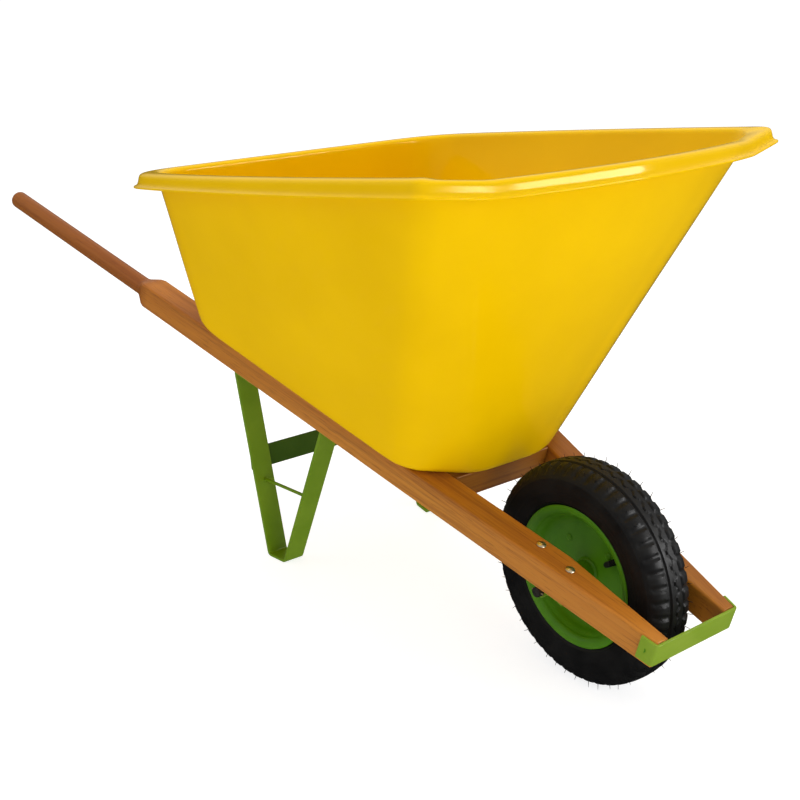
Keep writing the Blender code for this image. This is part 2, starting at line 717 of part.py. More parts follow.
def make_spacers():
    """Tubes on the axle between the hub's bearings and the brackets."""
    low = HUB_HALF + BEARING_FLANGE + GAP * 2
    high = BRACKET_Y - BRACKET_HALF_WIDTH - GAP
    bore = AXLE_RADIUS + GAP
    for side in (1, -1):
        profile = [(bore, low), (SPACER_RADIUS, low), (SPACER_RADIUS, high), (bore, high)]
        if side < 0:
            profile = [(radius, -z) for radius, z in profile]
        turned_ring(f"axle_spacer_{side_name(side)}", profile, ZINC_STEEL, ROUND_STEPS)


def turned_ring(name, profile, look, steps):
    """A ring turned about the axle from a closed section, given in either direction."""
    area = sum(a[0] * b[1] - b[0] * a[1] for a, b in zip(profile, profile[1:] + profile[:1]))
    ordered = profile if area < 0 else profile[::-1]
    return turned_part(name, ordered, look, WHEEL_AXIS, steps, (0, 0, 0), TURNED_ABOUT_Y, closed=True)


def make_tyre():
    half = TYRE_OUTER_FACE + TYRE_INNER_FACE
    section = [*half, *[(radius, -z) for radius, z in reversed(half[1:-1])]]
    return turned_ring("tyre", section, BLACK_RUBBER, WHEEL_STEPS)


def make_inner_tube():
    """A hollow rubber ring, open where the valve stem joins it."""
    def circle(radius, count):
        angles = [2 * math.pi * i / count for i in range(count)]
        return [(TUBE_MID_RADIUS + radius * math.cos(a), radius * math.sin(a)) for a in angles]

    tube = turned_ring("inner_tube", circle(TUBE_RADIUS, TUBE_SIDES), BLACK_RUBBER, TUBE_STEPS)
    hollow = turned_ring("tube_hollow", circle(TUBE_RADIUS - TUBE_WALL, TUBE_SIDES), BLACK_RUBBER, TUBE_STEPS)
    PARTS.objects.unlink(hollow)
    CUTTERS.objects.link(hollow)
    hollow.hide_render = True
    hollow.display_type = "WIRE"
    cut(tube, hollow)
    mouth = rod_mesh("tube_mouth", TUBE_MOUTH, RIM_WELL_SPAN[1], TUBE_MID_RADIUS, SMALL_STEPS)
    cut(tube, add_cutter("tube_mouth", mouth, WHEEL_AXIS, (0, 0, 0), (0, math.pi / 2 - VALVE_ANGLE, 0)))


def make_rims():
    """Two pressed dishes, back to back, with a hole each for the valve and for reaching it."""
    rims = {}
    for side in (1, -1):
        section = [(radius, z * side) for radius, z in RIM_OUTER_FACE + RIM_INNER_FACE]
        rims[side] = turned_ring(f"rim_{side_name(side)}", section, GREEN_PAINT, WHEEL_STEPS)
    for i in range(RIVET_COUNT):
        angle = 2 * math.pi * (i + 0.5) / RIVET_COUNT
        make_rivet(i + 1, angle, rims)
    along_valve = (0, math.pi / 2 - VALVE_ANGLE, 0)
    valve = rod_mesh("valve_hole", VALVE_HOLE, *RIM_WELL_SPAN, SMALL_STEPS)
    cut(rims[-1], add_cutter("valve_hole", valve, WHEEL_AXIS, (0, VALVE_Y, 0), along_valve))
    opposite = (0, math.pi / 2 - VALVE_ANGLE + math.pi, 0)
    for side, rim in rims.items():
        name = f"vent_hole_{side_name(side)}"
        vent = rod_mesh(name, VENT_HOLE, *RIM_WELL_SPAN, SMALL_STEPS)
        cut(rim, add_cutter(name, vent, WHEEL_AXIS, (0, VENT_Y * side, 0), opposite))


def make_rivet(number, angle, rims):
    """A rivet that joins the two dishes, with a domed head on each side."""
    head = RIVET_RADIUS * 2
    face = RIM_OUTER_FACE[0][1] + GAP
    dome = face + 0.0022
    profile = [
        (0, dome), (head * 0.7, dome - 0.0006), (head, face), (RIVET_RADIUS, face),
        (RIVET_RADIUS, -face), (head, -face), (head * 0.7, -dome + 0.0006), (0, -dome),
    ]
    place = (RIVET_CIRCLE * math.cos(angle), 0, RIVET_CIRCLE * math.sin(angle))
    turned_part(f"rim_rivet_{number}", profile, GREEN_PAINT, WHEEL_AXIS, SMALL_STEPS, place, TURNED_ABOUT_Y)
    hole = rod_mesh(f"rivet_hole_{number}", RIVET_RADIUS + GAP, -CUTTER_MARGIN, CUTTER_MARGIN, SMALL_STEPS)
    cutter = add_cutter(f"rivet_hole_{number}", hole, WHEEL_AXIS, place, TURNED_ABOUT_Y)
    for rim in rims.values():
        cut(rim, cutter)


def make_hub():
    """A tube through both rims, with a flanged bush in each end."""
    hub = [(HUB_BORE, -HUB_HALF), (HUB_RADIUS, -HUB_HALF), (HUB_RADIUS, HUB_HALF), (HUB_BORE, HUB_HALF)]
    turned_ring("hub", hub, GREEN_PAINT, ROUND_STEPS)
    bore = AXLE_RADIUS + GAP
    body = HUB_BORE - GAP
    flange = HUB_RADIUS - 0.001
    start = HUB_HALF + GAP
    for side in (1, -1):
        profile = [
            (bore, start + BEARING_FLANGE), (flange, start + BEARING_FLANGE), (flange, start), (body, start),
            (body, start - BEARING_LENGTH), (bore, start - BEARING_LENGTH),
        ]
        profile = [(radius, z * side) for radius, z in profile]
        turned_ring(f"bearing_{side_name(side)}", profile, BLACK_PLASTIC, ROUND_STEPS)


def make_valve():
    """A rubber valve stem that points at the hub, with its plastic cap."""
    outward = (0, math.pi / 2 - VALVE_ANGLE, 0)
    place = (0, VALVE_Y, 0)
    stem_top = TUBE_MID_RADIUS - math.sqrt(TUBE_RADIUS ** 2 - VALVE_Y ** 2) - 0.001
    cap_low, cap_high, cap_radius, bore = VALVE_END - 0.004, VALVE_END + 0.009, 0.0048, 0.0034
    thread = VALVE_RADIUS * 0.6
    stem = [
        (0, stem_top), (VALVE_RADIUS, stem_top), (VALVE_RADIUS, cap_high + 0.004),
        (thread, cap_high + 0.001), (thread, VALVE_END), (0, VALVE_END),
    ]
    turned_part("valve_stem", stem, BLACK_RUBBER, WHEEL_AXIS, SMALL_STEPS, place, outward)
    cap = [
        (0, VALVE_END - GAP), (bore, VALVE_END - GAP), (bore, cap_high), (cap_radius, cap_high),
        (cap_radius, cap_low + 0.001), (cap_radius - 0.001, cap_low), (0, cap_low),
    ]
    turned_part("valve_cap", cap, BLACK_PLASTIC, WHEEL_AXIS, SMALL_STEPS, place, outward)


def main():
    tray = make_tray()
    handles = {side: make_handle(side) for side in (1, -1)}
    front_crosspiece = make_crosspiece("front_crosspiece", FRONT_CROSSPIECE_S)
    make_crosspiece("rear_crosspiece", REAR_CROSSPIECE_S)
    legs = {side: make_leg(side) for side in (1, -1)}
    for side in (1, -1):
        make_leg_rod(side)
    make_leg_brace()
    guard = make_nose_guard()
    brackets = {side: make_bracket(side) for side in (1, -1)}
    make_deck_bolts(tray, handles, legs, brackets, front_crosspiece)
    for side in (1, -1):
        make_guard_screw(side, guard, handles[side])
    make_axle()
    make_spacers()
    make_tyre()
    make_inner_tube()
    make_rims()
    make_hub()
    make_valve()


main()
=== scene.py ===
"""The looks of the wheelbarrow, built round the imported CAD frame.

Metres, in the CAD's own frame: +Z up, +X towards the wheel, +Y to the left of the person pushing.
The driving dimensions below repeat the CAD's. The deck frame lies on the handles' top faces, and a
distance s from the noses back is x = -s there. The barrow frame is on the ground under the axle.
"""

import json
import math
import random

import bmesh
import bpy
from mathutils import Matrix, Vector, noise


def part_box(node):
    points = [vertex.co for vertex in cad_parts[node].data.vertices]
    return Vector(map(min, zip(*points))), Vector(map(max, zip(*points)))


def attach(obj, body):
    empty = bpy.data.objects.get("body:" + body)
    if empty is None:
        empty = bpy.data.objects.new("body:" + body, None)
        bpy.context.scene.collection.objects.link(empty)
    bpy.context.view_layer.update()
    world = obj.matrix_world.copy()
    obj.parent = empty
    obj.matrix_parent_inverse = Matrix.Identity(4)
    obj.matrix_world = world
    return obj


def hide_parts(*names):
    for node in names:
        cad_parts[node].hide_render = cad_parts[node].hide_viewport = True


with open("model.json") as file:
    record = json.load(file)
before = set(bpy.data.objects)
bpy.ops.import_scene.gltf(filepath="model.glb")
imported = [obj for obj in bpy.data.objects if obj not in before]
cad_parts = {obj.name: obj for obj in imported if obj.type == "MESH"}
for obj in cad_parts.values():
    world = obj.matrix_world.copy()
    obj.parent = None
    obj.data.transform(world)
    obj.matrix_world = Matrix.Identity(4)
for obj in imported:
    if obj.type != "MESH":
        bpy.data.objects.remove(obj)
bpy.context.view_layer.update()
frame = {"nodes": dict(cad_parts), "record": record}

# Overall layout
AXLE_X = 0.5905
TYRE_RADIUS = 0.178
DECK_SLOPE = math.radians(14.35)
SPLAY = math.radians(9.05)
NOSE_X = 0.2126
NOSE_Z = 0.1843
GAP = 0.0003

# Handles and crosspieces
HANDLE_HALF_AT_NOSE = 0.0818
BEAM_WIDTH = 0.050
BEAM_HEIGHT = 0.048
BEAM_EDGE = 0.0045
NOSE_WIDTH = 0.023
NOSE_TAPER = 0.1945
SHOULDER_START = 1.176
SHOULDER_END = 1.208
GRIP_END = 1.653
GRIP_RADIUS = 0.0175
CROSSPIECE_DEPTH = 0.038
CROSSPIECES = (("front_crosspiece", 0.425), ("rear_crosspiece", 0.945))

# Tray: corners of the floor in the deck frame, and of the lip in the barrow frame
TRAY_WALL = 0.004
FLOOR_CORNERS = ((-0.409, 0.068), (-0.470, 0.176), (-1.028, 0.258))
FLOOR_ROUND = (0.030, 0.040, 0.085)
FLOOR_FILLET = 0.024
LIP_FRONT = (0.050, 0.2476)
LIP_SIDE = (0.0205, 0.3482)
LIP_REAR = (-0.815, 0.350)
LIP_ROUND = (0.025, 0.015, 0.100)
WALL_ROUND = (0.030, 0.036, 0.085)
LIP_BOWS = (0.042, 0.024, 0.006)
LIP_Z = 0.8000
LIP_SLOPE = 0.135
LIP_FRONT_DROP = 0.012
RIM_OVERHANG = 0.034
# The rim's section: distance out from the wall's outer face, and height over the lip's lower edge
RIM_SECTION = (
    (0.0000, 0.0100), (0.0004, 0.0160), (0.0040, 0.0200), (0.0120, 0.0206), (0.0190, 0.0203),
    (0.0218, 0.0175), (0.0238, 0.0100), (0.0255, 0.0040), (0.0290, 0.0004), (0.0325, 0.0000),
    (0.0338, 0.0006), (0.0338, 0.0030), (0.0325, 0.0040), (0.0292, 0.0050), (0.0274, 0.0090),
    (0.0260, 0.0170), (0.0248, 0.0212), (0.0215, 0.0238), (0.0160, 0.0248), (0.0090, 0.0250),
    (0.0010, 0.0240), (-0.0036, 0.0208), (-0.0040, 0.0140),
)
WALL_RINGS = 7
WALL_WAVE = 0.0007
WALL_WAVES_PER_METRE = 7

# Legs and nose guard
STRAP_WIDTH = 0.038
STRAP_THICKNESS = 0.005
FOOT_REAR_X = -0.637
FOOT_FRONT_X = -0.590
FOOT_MID_Y = 0.1720
LEG_REAR_S = 0.910
LEG_FRONT_S = 0.681
LEG_TAB = 0.045
LEG_BEND = 0.008
BRACE_Z = 0.191
BRACE_WIDTH = 0.041
BRACE_THICKNESS = 0.004
WELD_RADIUS = 0.0021
WELD_OFFSET = 0.0006
LEG_ROD_RADIUS = 0.003
LEG_ROD_Z = 0.150
GUARD_THICKNESS = 0.004
GUARD_HEIGHT = 0.0385
GUARD_RETURN = 0.024
GUARD_BEND = 0.0016
GUARD_MIDDLE_Z = -0.002 - GUARD_HEIGHT / 2
SCREW_HEAD_RADIUS = 0.0042
SCREW_RADIUS = 0.0020
STRAP_EDGE = 0.0007
PLATE_EDGE = 0.0004
BLOCK_EDGE = 0.002

# Wheel, turned about the axle: (radius, distance from the middle plane)
RIM_OUTER_FACE = (
    (0.0193, 0.0028), (0.0740, 0.0028), (0.0830, 0.0065), (0.0895, 0.0130), (0.0935, 0.0205),
    (0.0975, 0.0262), (0.0995, 0.0300), (0.1045, 0.0347), (0.1115, 0.0364), (0.1140, 0.0352),
)
RIM_INNER_FACE = (
    (0.1132, 0.0335), (0.1100, 0.0340), (0.1062, 0.0325), (0.1014, 0.0290), (0.0998, 0.0250),
    (0.0958, 0.0192), (0.0918, 0.0116), (0.0845, 0.0045), (0.0750, 0.0004), (0.0193, 0.0004),
)
TYRE_OUTER_FACE = (
    (0.1780, 0.0), (0.1768, 0.0170), (0.1725, 0.0295), (0.1610, 0.0385), (0.1470, 0.0415),
    (0.1300, 0.0402), (0.1182, 0.0378), (0.1152, 0.0338), (0.1062, 0.0300), (0.1022, 0.0272),
)
TYRE_INNER_FACE = (
    (0.1022, 0.0215), (0.1110, 0.0265), (0.1220, 0.0335), (0.1470, 0.0364), (0.1680, 0.0200),
)
TREAD_BLOCKS = 48
TREAD_DEPTH = 0.0034
TREAD_HALF = 0.0385
TREAD_INNER_RADIUS = 0.160
GROOVE_Y = 0.0135
GROOVE_HALF = 0.0022
SIPE_HALF = 0.0016
SIPE_SWING = 0.0028
SIPE_REACH = 0.010
LUG_START = 0.0145
WALL_RIB_RADII = (0.1275, 0.1340, 0.1560)
WALL_RIB_HEIGHT = 0.0005
WALL_RIB_HALF = 0.0024
VENT_HAIRS = 46
VENT_HAIR_LENGTH = 0.0085
VENT_HAIR_ROOT = (0.1715, 0.0295)
WHEEL_STEPS = 160
HUB_HALF = 0.050
HUB_RADIUS = 0.019
HUB_BORE = 0.0138
BUSH_DEPTH = 0.012
AXLE_RADIUS = 0.008
AXLE_HALF = 0.1115
AXLE_PIN_RADIUS = 0.0015
AXLE_PIN_END = 0.004
AXLE_PIN_Y = 0.1070
BEARING_FLANGE = 0.0025
SPACER_RADIUS = 0.0102
RIVET_CIRCLE = 0.058
RIVET_RADIUS = 0.003
RIVET_HEAD_HEIGHT = 0.0022
RIVET_COUNT = 4
VALVE_ANGLE = math.radians(35)
VALVE_Y = -0.0100
VALVE_RADIUS = 0.0050
VALVE_TOP = 0.1165
VALVE_END = 0.0570
VALVE_CAP_RADIUS = 0.0048
VALVE_HOLE = 0.0062
VENT_HOLE = 0.0075
VENT_Y = 0.0125
RIM_WELL_SPAN = (0.070, 0.110)
BRACKET_Y = 0.087
BRACKET_HALF_WIDTH = 0.015
BRACKET_HALF_LENGTH = 0.045
BRACKET_THICKNESS = 0.0025
BRACKET_PLATE = 0.002
BRACKET_BEND = 0.0025
BRACKET_BOLT_HALF_PITCH = 0.03175
BOLT_HEAD_RADIUS = 0.0075
BOLT_HEAD_HEIGHT = 0.0034
BOLT_RADIUS = 0.0031
NUT_RADIUS = 0.0062
NUT_HEIGHT = 0.005
NUT_EDGE = 0.0007
ROUND_STEPS = 48
SMALL_STEPS = 32
NEAR_ZERO = 0.0001

# Studio
FLOOR_HALF = 60
BACKDROP_RADIUS = 55
WHITE = (1, 1, 1, 1)
CAMERA_PLACE = (1.75171, -1.23278, 1.10200)
CAMERA_AZIMUTH = 0.91352
CAMERA_ELEVATION = 0.35930
CAMERA_ROLL = -0.00384
CAMERA_LENS = 55.2895
CAMERA_SHIFT = (-0.01851, -0.01157)

BARROW = Matrix.Translation((AXLE_X, 0, 0))
DECK = BARROW @ Matrix.Translation((NOSE_X, 0, NOSE_Z)) @ Matrix.Rotation(DECK_SLOPE, 4, "Y")
DECK_IN_BARROW = BARROW.inverted() @ DECK
WHEEL = Matrix.Translation((AXLE_X, 0, TYRE_RADIUS)) @ Matrix.Rotation(-math.pi / 2, 4, "X")
AXLE_IN_DECK = DECK.inverted() @ Vector((AXLE_X, 0, TYRE_RADIUS))
UPRIGHT = Matrix.Rotation(math.pi / 2, 4, "X")
SIDES = (("left", 1), ("right", -1))
BODIES = frame["record"]["behaviour"]["bodies"]
BODY_OF = {node: body for body, nodes in BODIES.items() for node in nodes}
noise.seed_set(7)
random.seed(7)


# Materials

class Shading:
    """A Principled material whose nodes are added by short calls."""

    def __init__(self, name, roughness=0.5, metallic=0.0, coat=0.0, coat_roughness=0.1, specular=0.5):
        self.material = bpy.data.materials.new(name)
        self.material.use_nodes = True
        self.tree = self.material.node_tree
        self.shader = self.tree.nodes["Principled BSDF"]
        self.put(self.shader, {
            "Roughness": roughness, "Metallic": metallic, "Specular IOR Level": specular,
            "Coat Weight": coat, "Coat Roughness": coat_roughness,
        })
        self.coordinates = self.node("ShaderNodeTexCoord").outputs["Object"]

    def put(self, node, inputs):
        """Sets a node's inputs: a socket is linked, anything else is a value."""
        for key, value in inputs.items():
            if isinstance(value, bpy.types.NodeSocket):
                self.tree.links.new(value, node.inputs[key])
            else:
                node.inputs[key].default_value = value

    def node(self, kind, inputs=None, **settings):
        made = self.tree.nodes.new(kind)
        for key, value in settings.items():
            setattr(made, key, value)
        self.put(made, inputs or {})
        return made

    def noise(self, scale, stretch=(1, 1, 1), detail=4.0, roughness=0.5, distortion=0.0, offset=(0, 0, 0)):
        """Noise in the object's own coordinates, stretched along its axes."""
        place = self.node("ShaderNodeMapping", {
            "Vector": self.coordinates, "Scale": stretch, "Location": offset,
        })
        return self.node("ShaderNodeTexNoise", {
            "Vector": place.outputs["Vector"], "Scale": scale, "Detail": detail, "Roughness": roughness,
            "Distortion": distortion,
        }).outputs["Fac"]

    def ramp(self, value, stops):
        """A colour ramp through (position, colour) stops. A single number makes a grey."""
        made = self.node("ShaderNodeValToRGB", {"Fac": value})
        elements = made.color_ramp.elements
        while len(elements) < len(stops):
            elements.new(0.5)
        for element, (position, colour) in zip(elements, stops):
            element.position = position
            element.color = (*colour, 1) if isinstance(colour, tuple) else (colour, colour, colour, 1)
        return made.outputs["Color"]

    def mix(self, share, first, second, blend_type="MIX"):
        """Two colours mixed. A colour mix node's factor, A and B are its inputs 0, 6 and 7."""
        made = self.node("ShaderNodeMix", data_type="RGBA", blend_type=blend_type)
        for index, value in ((0, share), (6, first), (7, second)):
            if isinstance(value, bpy.types.NodeSocket):
                self.tree.links.new(value, made.inputs[index])
            else:
                made.inputs[index].default_value = (*value, 1) if isinstance(value, tuple) else value
        return made.outputs[2]

    def bump(self, height, distance, strength=1.0, normal=None):
        inputs = {"Height": height, "Distance": distance, "Strength": strength}
        if normal:
            inputs["Normal"] = normal
        return self.node("ShaderNodeBump", inputs).outputs["Normal"]

    def finish(self, colour=None, roughness=None, normal=None):
        for key, value in (("Base Color", colour), ("Roughness", roughness), ("Normal", normal)):
            if value is not None:
                self.put(self.shader, {key: value})
        return self.material


def moulded_plastic():
    """Glossy yellow polyethylene with faint mottling, orange-peel and fine scuffs."""
    look = Shading("yellow_plastic_look", specular=0.2)
    look.put(look.shader, {"Specular Tint": (1.0, 0.90, 0.55, 1)})
    mottle = look.noise(5.0, detail=3)
    scuff = look.noise(34, (1, 6, 1), detail=8, roughness=0.7)
    colour = look.ramp(mottle, ((0.3, (0.79, 0.475, 0.0003)), (0.7, (0.85, 0.520, 0.0005))))
    worn = look.mix(look.ramp(scuff, ((0.63, 0.0), (0.72, 0.08))), colour, (0.90, 0.62, 0.05))
    gloss = look.ramp(scuff, ((0.4, 0.09), (0.75, 0.17)))
    peel = look.bump(look.noise(260, detail=2), 0.00008, 0.35)
    return look.finish(worn, gloss, look.bump(look.noise(11, detail=2), 0.0006, 0.25, peel))


def oiled_wood(name, offset, painted_shade_tone=1.0):
    """Stained hardwood, grained along the object's X axis. Below 1, the last argument darkens the whole
    board as painted shade.

    Past the shoulder of a handle, the grip has gone darker from hands.
    """
    look = Shading(name, coat=0.05, coat_roughness=0.35, specular=0.3)
    bands = look.noise(1.0, (0.9, 20, 20), detail=3, distortion=0.6, offset=offset)
    streaks = look.noise(1.0, (2.6, 95, 95), detail=6, roughness=0.62, distortion=0.35, offset=offset)
    pores = look.noise(1.0, (26, 620, 620), detail=2, offset=offset)
    tint = look.noise(2.2, (1, 1.6, 1.6), detail=2, offset=offset)
    board = look.ramp(bands, (
        (0.25, (0.38 * painted_shade_tone, 0.122 * painted_shade_tone, 0.006 * painted_shade_tone)),
        (0.5, (0.52 * painted_shade_tone, 0.192 * painted_shade_tone, 0.011 * painted_shade_tone)),
        (0.75, (0.62 * painted_shade_tone, 0.265 * painted_shade_tone, 0.024 * painted_shade_tone)),
    ))
    lines = look.ramp(streaks, (
        (0.34, (0.52, 0.45, 0.38)), (0.5, (0.94, 0.92, 0.88)), (0.68, (1.0, 1.0, 1.0)),
    ))
    grained = look.mix(0.85, board, lines, "MULTIPLY")
    warm = look.mix(look.ramp(tint, ((0.35, 0.0), (0.7, 0.45))), grained, (0.46, 0.145, 0.022))
    pitted = look.mix(look.ramp(pores, ((0.30, 0.55), (0.42, 0.0))), warm, (0.16, 0.045, 0.006))
    along = look.node("ShaderNodeSeparateXYZ", {"Vector": look.coordinates}).outputs["X"]
    held = look.node("ShaderNodeMapRange", {
        "Value": along, "From Min": -SHOULDER_START, "From Max": -SHOULDER_END,
        "To Min": 0.0, "To Max": 0.62,
    }).outputs["Result"]
    handled = look.mix(held, pitted, (0.185, 0.040, 0.004))
    gloss = look.ramp(streaks, ((0.3, 0.50), (0.7, 0.36)))
    relief = look.bump(streaks, 0.0004, 0.35)
    return look.finish(handled, gloss, look.bump(pores, 0.0002, 0.3, relief))


def painted_steel(name, deep, bright):
    """Green paint with a slight orange-peel, dust in patches and thin rubbed spots. The colours given make
    some copies lighter or darker, as painted light and painted shade.
    """
    look = Shading(name, coat=0.04, coat_roughness=0.25, specular=0.25)
    patches = look.noise(14, detail=5, roughness=0.6)
    rub = look.noise(70, detail=7, roughness=0.75)
    colour = look.ramp(patches, ((0.3, deep), (0.7, bright)))
    rubbed = look.mix(look.ramp(rub, ((0.68, 0.0), (0.76, 0.30))), colour, (0.22, 0.32, 0.05))
    gloss = look.ramp(patches, ((0.3, 0.34), (0.7, 0.46)))
    return look.finish(rubbed, gloss, look.bump(look.noise(420, detail=2), 0.00012, 0.3))


def black_rubber():
    """Black rubber with a little dust."""
    look = Shading("tyre_rubber_look", specular=0.22)
    dust = look.noise(26, detail=6, roughness=0.65)
    colour = look.ramp(dust, ((0.35, (0.0045, 0.0045, 0.0048)), (0.75, (0.0110, 0.0107, 0.0102))))
    gloss = look.ramp(dust, ((0.3, 0.42), (0.7, 0.58)))
    return look.finish(colour, gloss, look.bump(look.noise(900, detail=2), 0.00015, 0.25))


def zinc_plate():
    """Zinc plating with a mottled bloom, slightly yellow."""
    look = Shading("zinc_steel_look", metallic=1.0)
    bloom = look.noise(180, detail=6, roughness=0.7)
    colour = look.ramp(bloom, ((0.3, (0.50, 0.41, 0.26)), (0.7, (0.70, 0.61, 0.44))))
    gloss = look.ramp(bloom, ((0.3, 0.26), (0.7, 0.42)))
    return look.finish(colour, gloss, look.bump(bloom, 0.0001, 0.25))


def dark_steel():
    """Black oiled steel with a few dull spots."""
    look = Shading("dark_steel_look", metallic=0.6, specular=0.4)
    spots = look.noise(160, detail=6, roughness=0.7)
    colour = look.ramp(spots, ((0.35, (0.030, 0.028, 0.026)), (0.7, (0.075, 0.066, 0.056))))
    gloss = look.ramp(spots, ((0.3, 0.34), (0.7, 0.56)))
    return look.finish(colour, gloss, look.bump(spots, 0.0001, 0.3))


def black_plastic():
    """Matte black nylon."""
    look = Shading("black_plastic_look")
    grain = look.noise(700, detail=3)
    gloss = look.ramp(grain, ((0.3, 0.36), (0.7, 0.52)))
    return look.finish((0.014, 0.014, 0.015, 1), gloss, look.bump(grain, 0.0001, 0.3))


YELLOW = moulded_plastic()
GREEN = painted_steel("green_paint_look", (0.125, 0.235, 0.0030), (0.165, 0.285, 0.0060))
# A lighter copy of the green paint for the nose guard: painted light, for its lit front face.
GREEN_GUARD_LIT = painted_steel("green_guard_lit_look", (0.190, 0.310, 0.012), (0.240, 0.355, 0.022))
# A deeper green for the wheel, made darker still as painted shade on the rims, hub, rivets and guard
# screws.
GREEN_RIM_SHADED = painted_steel("green_rim_shaded_look", (0.056, 0.190, 0.0018), (0.082, 0.240, 0.0028))
# A darker copy of the green paint for the brace and its welds: painted shade, where the bar sits behind the
# legs.
GREEN_BRACE_SHADED = painted_steel("green_brace_shaded_look", (0.034, 0.095, 0.0012), (0.048, 0.120, 0.0018))
RUBBER = black_rubber()
ZINC = zinc_plate()
DARK = dark_steel()
NYLON = black_plastic()
# Lower tones on the far handle and on the crosspieces under the tray are painted shade, not darker wood.
WOOD = {
    "handle_left": oiled_wood("handle_left_shaded_wood", (3.1, 7.7, 1.9), 0.72),
    "handle_right": oiled_wood("handle_right_wood", (8.4, 2.2, 5.3)),
    "front_crosspiece": oiled_wood("front_crosspiece_shaded_wood", (1.2, 4.8, 9.6), 0.66),
    "rear_crosspiece": oiled_wood("rear_crosspiece_shaded_wood", (6.5, 9.1, 2.7), 0.72),
}


# Building pieces

def polar(radius, angle, z):
    """A point round Z."""
    return Vector((radius * math.cos(angle), radius * math.sin(angle), z))


def new_object(name, data):
    """An object of that data, linked to the scene."""
    made = bpy.data.objects.new(name, data)
    bpy.context.scene.collection.objects.link(made)
    return made


def add_piece(name, mesh, material, place, beside=None):
    """Puts a mesh in the scene for the CAD node of the same name, or as an extra beside a node."""
    piece = new_object(f"{name}_piece", mesh)
    piece.matrix_world = place
    mesh.materials.clear()
    mesh.materials.append(material)
    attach(piece, BODY_OF[beside or name])
    if not beside:
        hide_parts(name)
    return piece


def mesh_from(builder, name, smooth_angle=180):
    """The mesh that `builder` fills in a bmesh, with its faces turned outwards."""
    work = bmesh.new()
    builder(work)
    bmesh.ops.recalc_face_normals(work, faces=work.faces)
    mesh = bpy.data.meshes.new(name)
    work.to_mesh(mesh)
    work.free()
    mesh.shade_smooth()
    mesh.set_sharp_from_angle(angle=math.radians(smooth_angle))
    return mesh


def loft_mesh(name, rings, smooth_angle=180, closed=False):
    """A skin through rings of equally many points, capped at both ends or closed on itself."""
    def build(work):
        layers = [[work.verts.new(point) for point in ring] for ring in rings]
        pairs = list(zip(layers, layers[1:]))
        if closed:
            pairs.append((layers[-1], layers[0]))
        for lower, upper in pairs:
            for i in range(len(lower)):
                j = (i + 1) % len(lower)
                work.faces.new((lower[i], lower[j], upper[j], upper[i]))
        if not closed:
            work.faces.new(layers[0])
            work.faces.new(layers[-1])
    return mesh_from(build, name, smooth_angle)


def turned_mesh(name, profile, steps=WHEEL_STEPS, closed=False):
    """A profile of (radius, z) turned about Z. Its ends are capped unless it is closed."""
    angles = [2 * math.pi * i / steps for i in range(steps)]
    rings = [[polar(radius, angle, z) for angle in angles] for radius, z in profile]
    return loft_mesh(name, rings, 35, closed)


def add_turned(name, profile, material, place, steps=SMALL_STEPS, side=1, closed=False):
    """Adds a piece turned from a profile, mirrored in z when `side` is -1."""
    mirrored = [(radius, z * side) for radius, z in profile]
    return add_piece(name, turned_mesh(name, mirrored, steps, closed), material, place)


def tube_section(inner, outer, low, high, edge=0.0005):
    """The section of a tube, or of a rod where `inner` is near zero, with its outer corners rounded."""
    return [
        (inner, low), (outer - edge, low), (outer - edge * 0.3, low + edge * 0.3), (outer, low + edge),
        (outer, high - edge), (outer - edge * 0.3, high - edge * 0.3), (outer - edge, high), (inner, high),
    ]


def smooth_line(points, steps):
    """A Catmull-Rom curve through the points, with `steps` pieces to each span."""
    points = [Vector(point) for point in points]
    ends = [points[0] * 2 - points[1], *points, points[-1] * 2 - points[-2]]
    line = []
    for a, b, c, d in zip(ends, ends[1:], ends[2:], ends[3:]):
        for step in range(steps):
            t = step / steps
            line.append((b * 2 + (c - a) * t + (a * 2 - b * 5 + c * 4 - d) * t ** 2
                         + (b * 3 - a - c * 3 + d) * t ** 3) / 2)
    return line + [points[-1]]


def bevelled(piece, width):
    """Rounds a piece's sharp edges and keeps its flat faces flat."""
    bevel = piece.modifiers.new("edges", "BEVEL")
    bevel.width = width
    bevel.segments = 3
    bevel.limit_method = "ANGLE"
    bevel.angle_limit = math.radians(40)
    bevel.harden_normals = True


def drilled(piece, holes):
    """Cuts round holes, given as (radius, low, high, matrix), out of a piece."""
    for i, (radius, low, high, place) in enumerate(holes):
        name = f"{piece.name}_drill_{i}"
        cutter = new_object(name, turned_mesh(name, ((radius, low), (radius, high)), SMALL_STEPS))
        cutter.matrix_world = place
        boolean = piece.modifiers.new(name, "BOOLEAN")
        boolean.operation = "DIFFERENCE"
        boolean.object = cutter
        bpy.context.view_layer.update()
        with bpy.context.temp_override(object=piece, active_object=piece):
            bpy.ops.object.modifier_apply(modifier=name)
        bpy.data.objects.remove(cutter)


# Tray

def bend(before, corner, after, t):
    """A point on the quadratic curve that rounds a corner off, from `before` to `after` it."""
    return before * (1 - t) ** 2 + corner * (2 * t * (1 - t)) + after * t ** 2


def corner_points(before, corner, after, steps):
    return [bend(before, corner, after, step / steps) for step in range(steps + 1)]


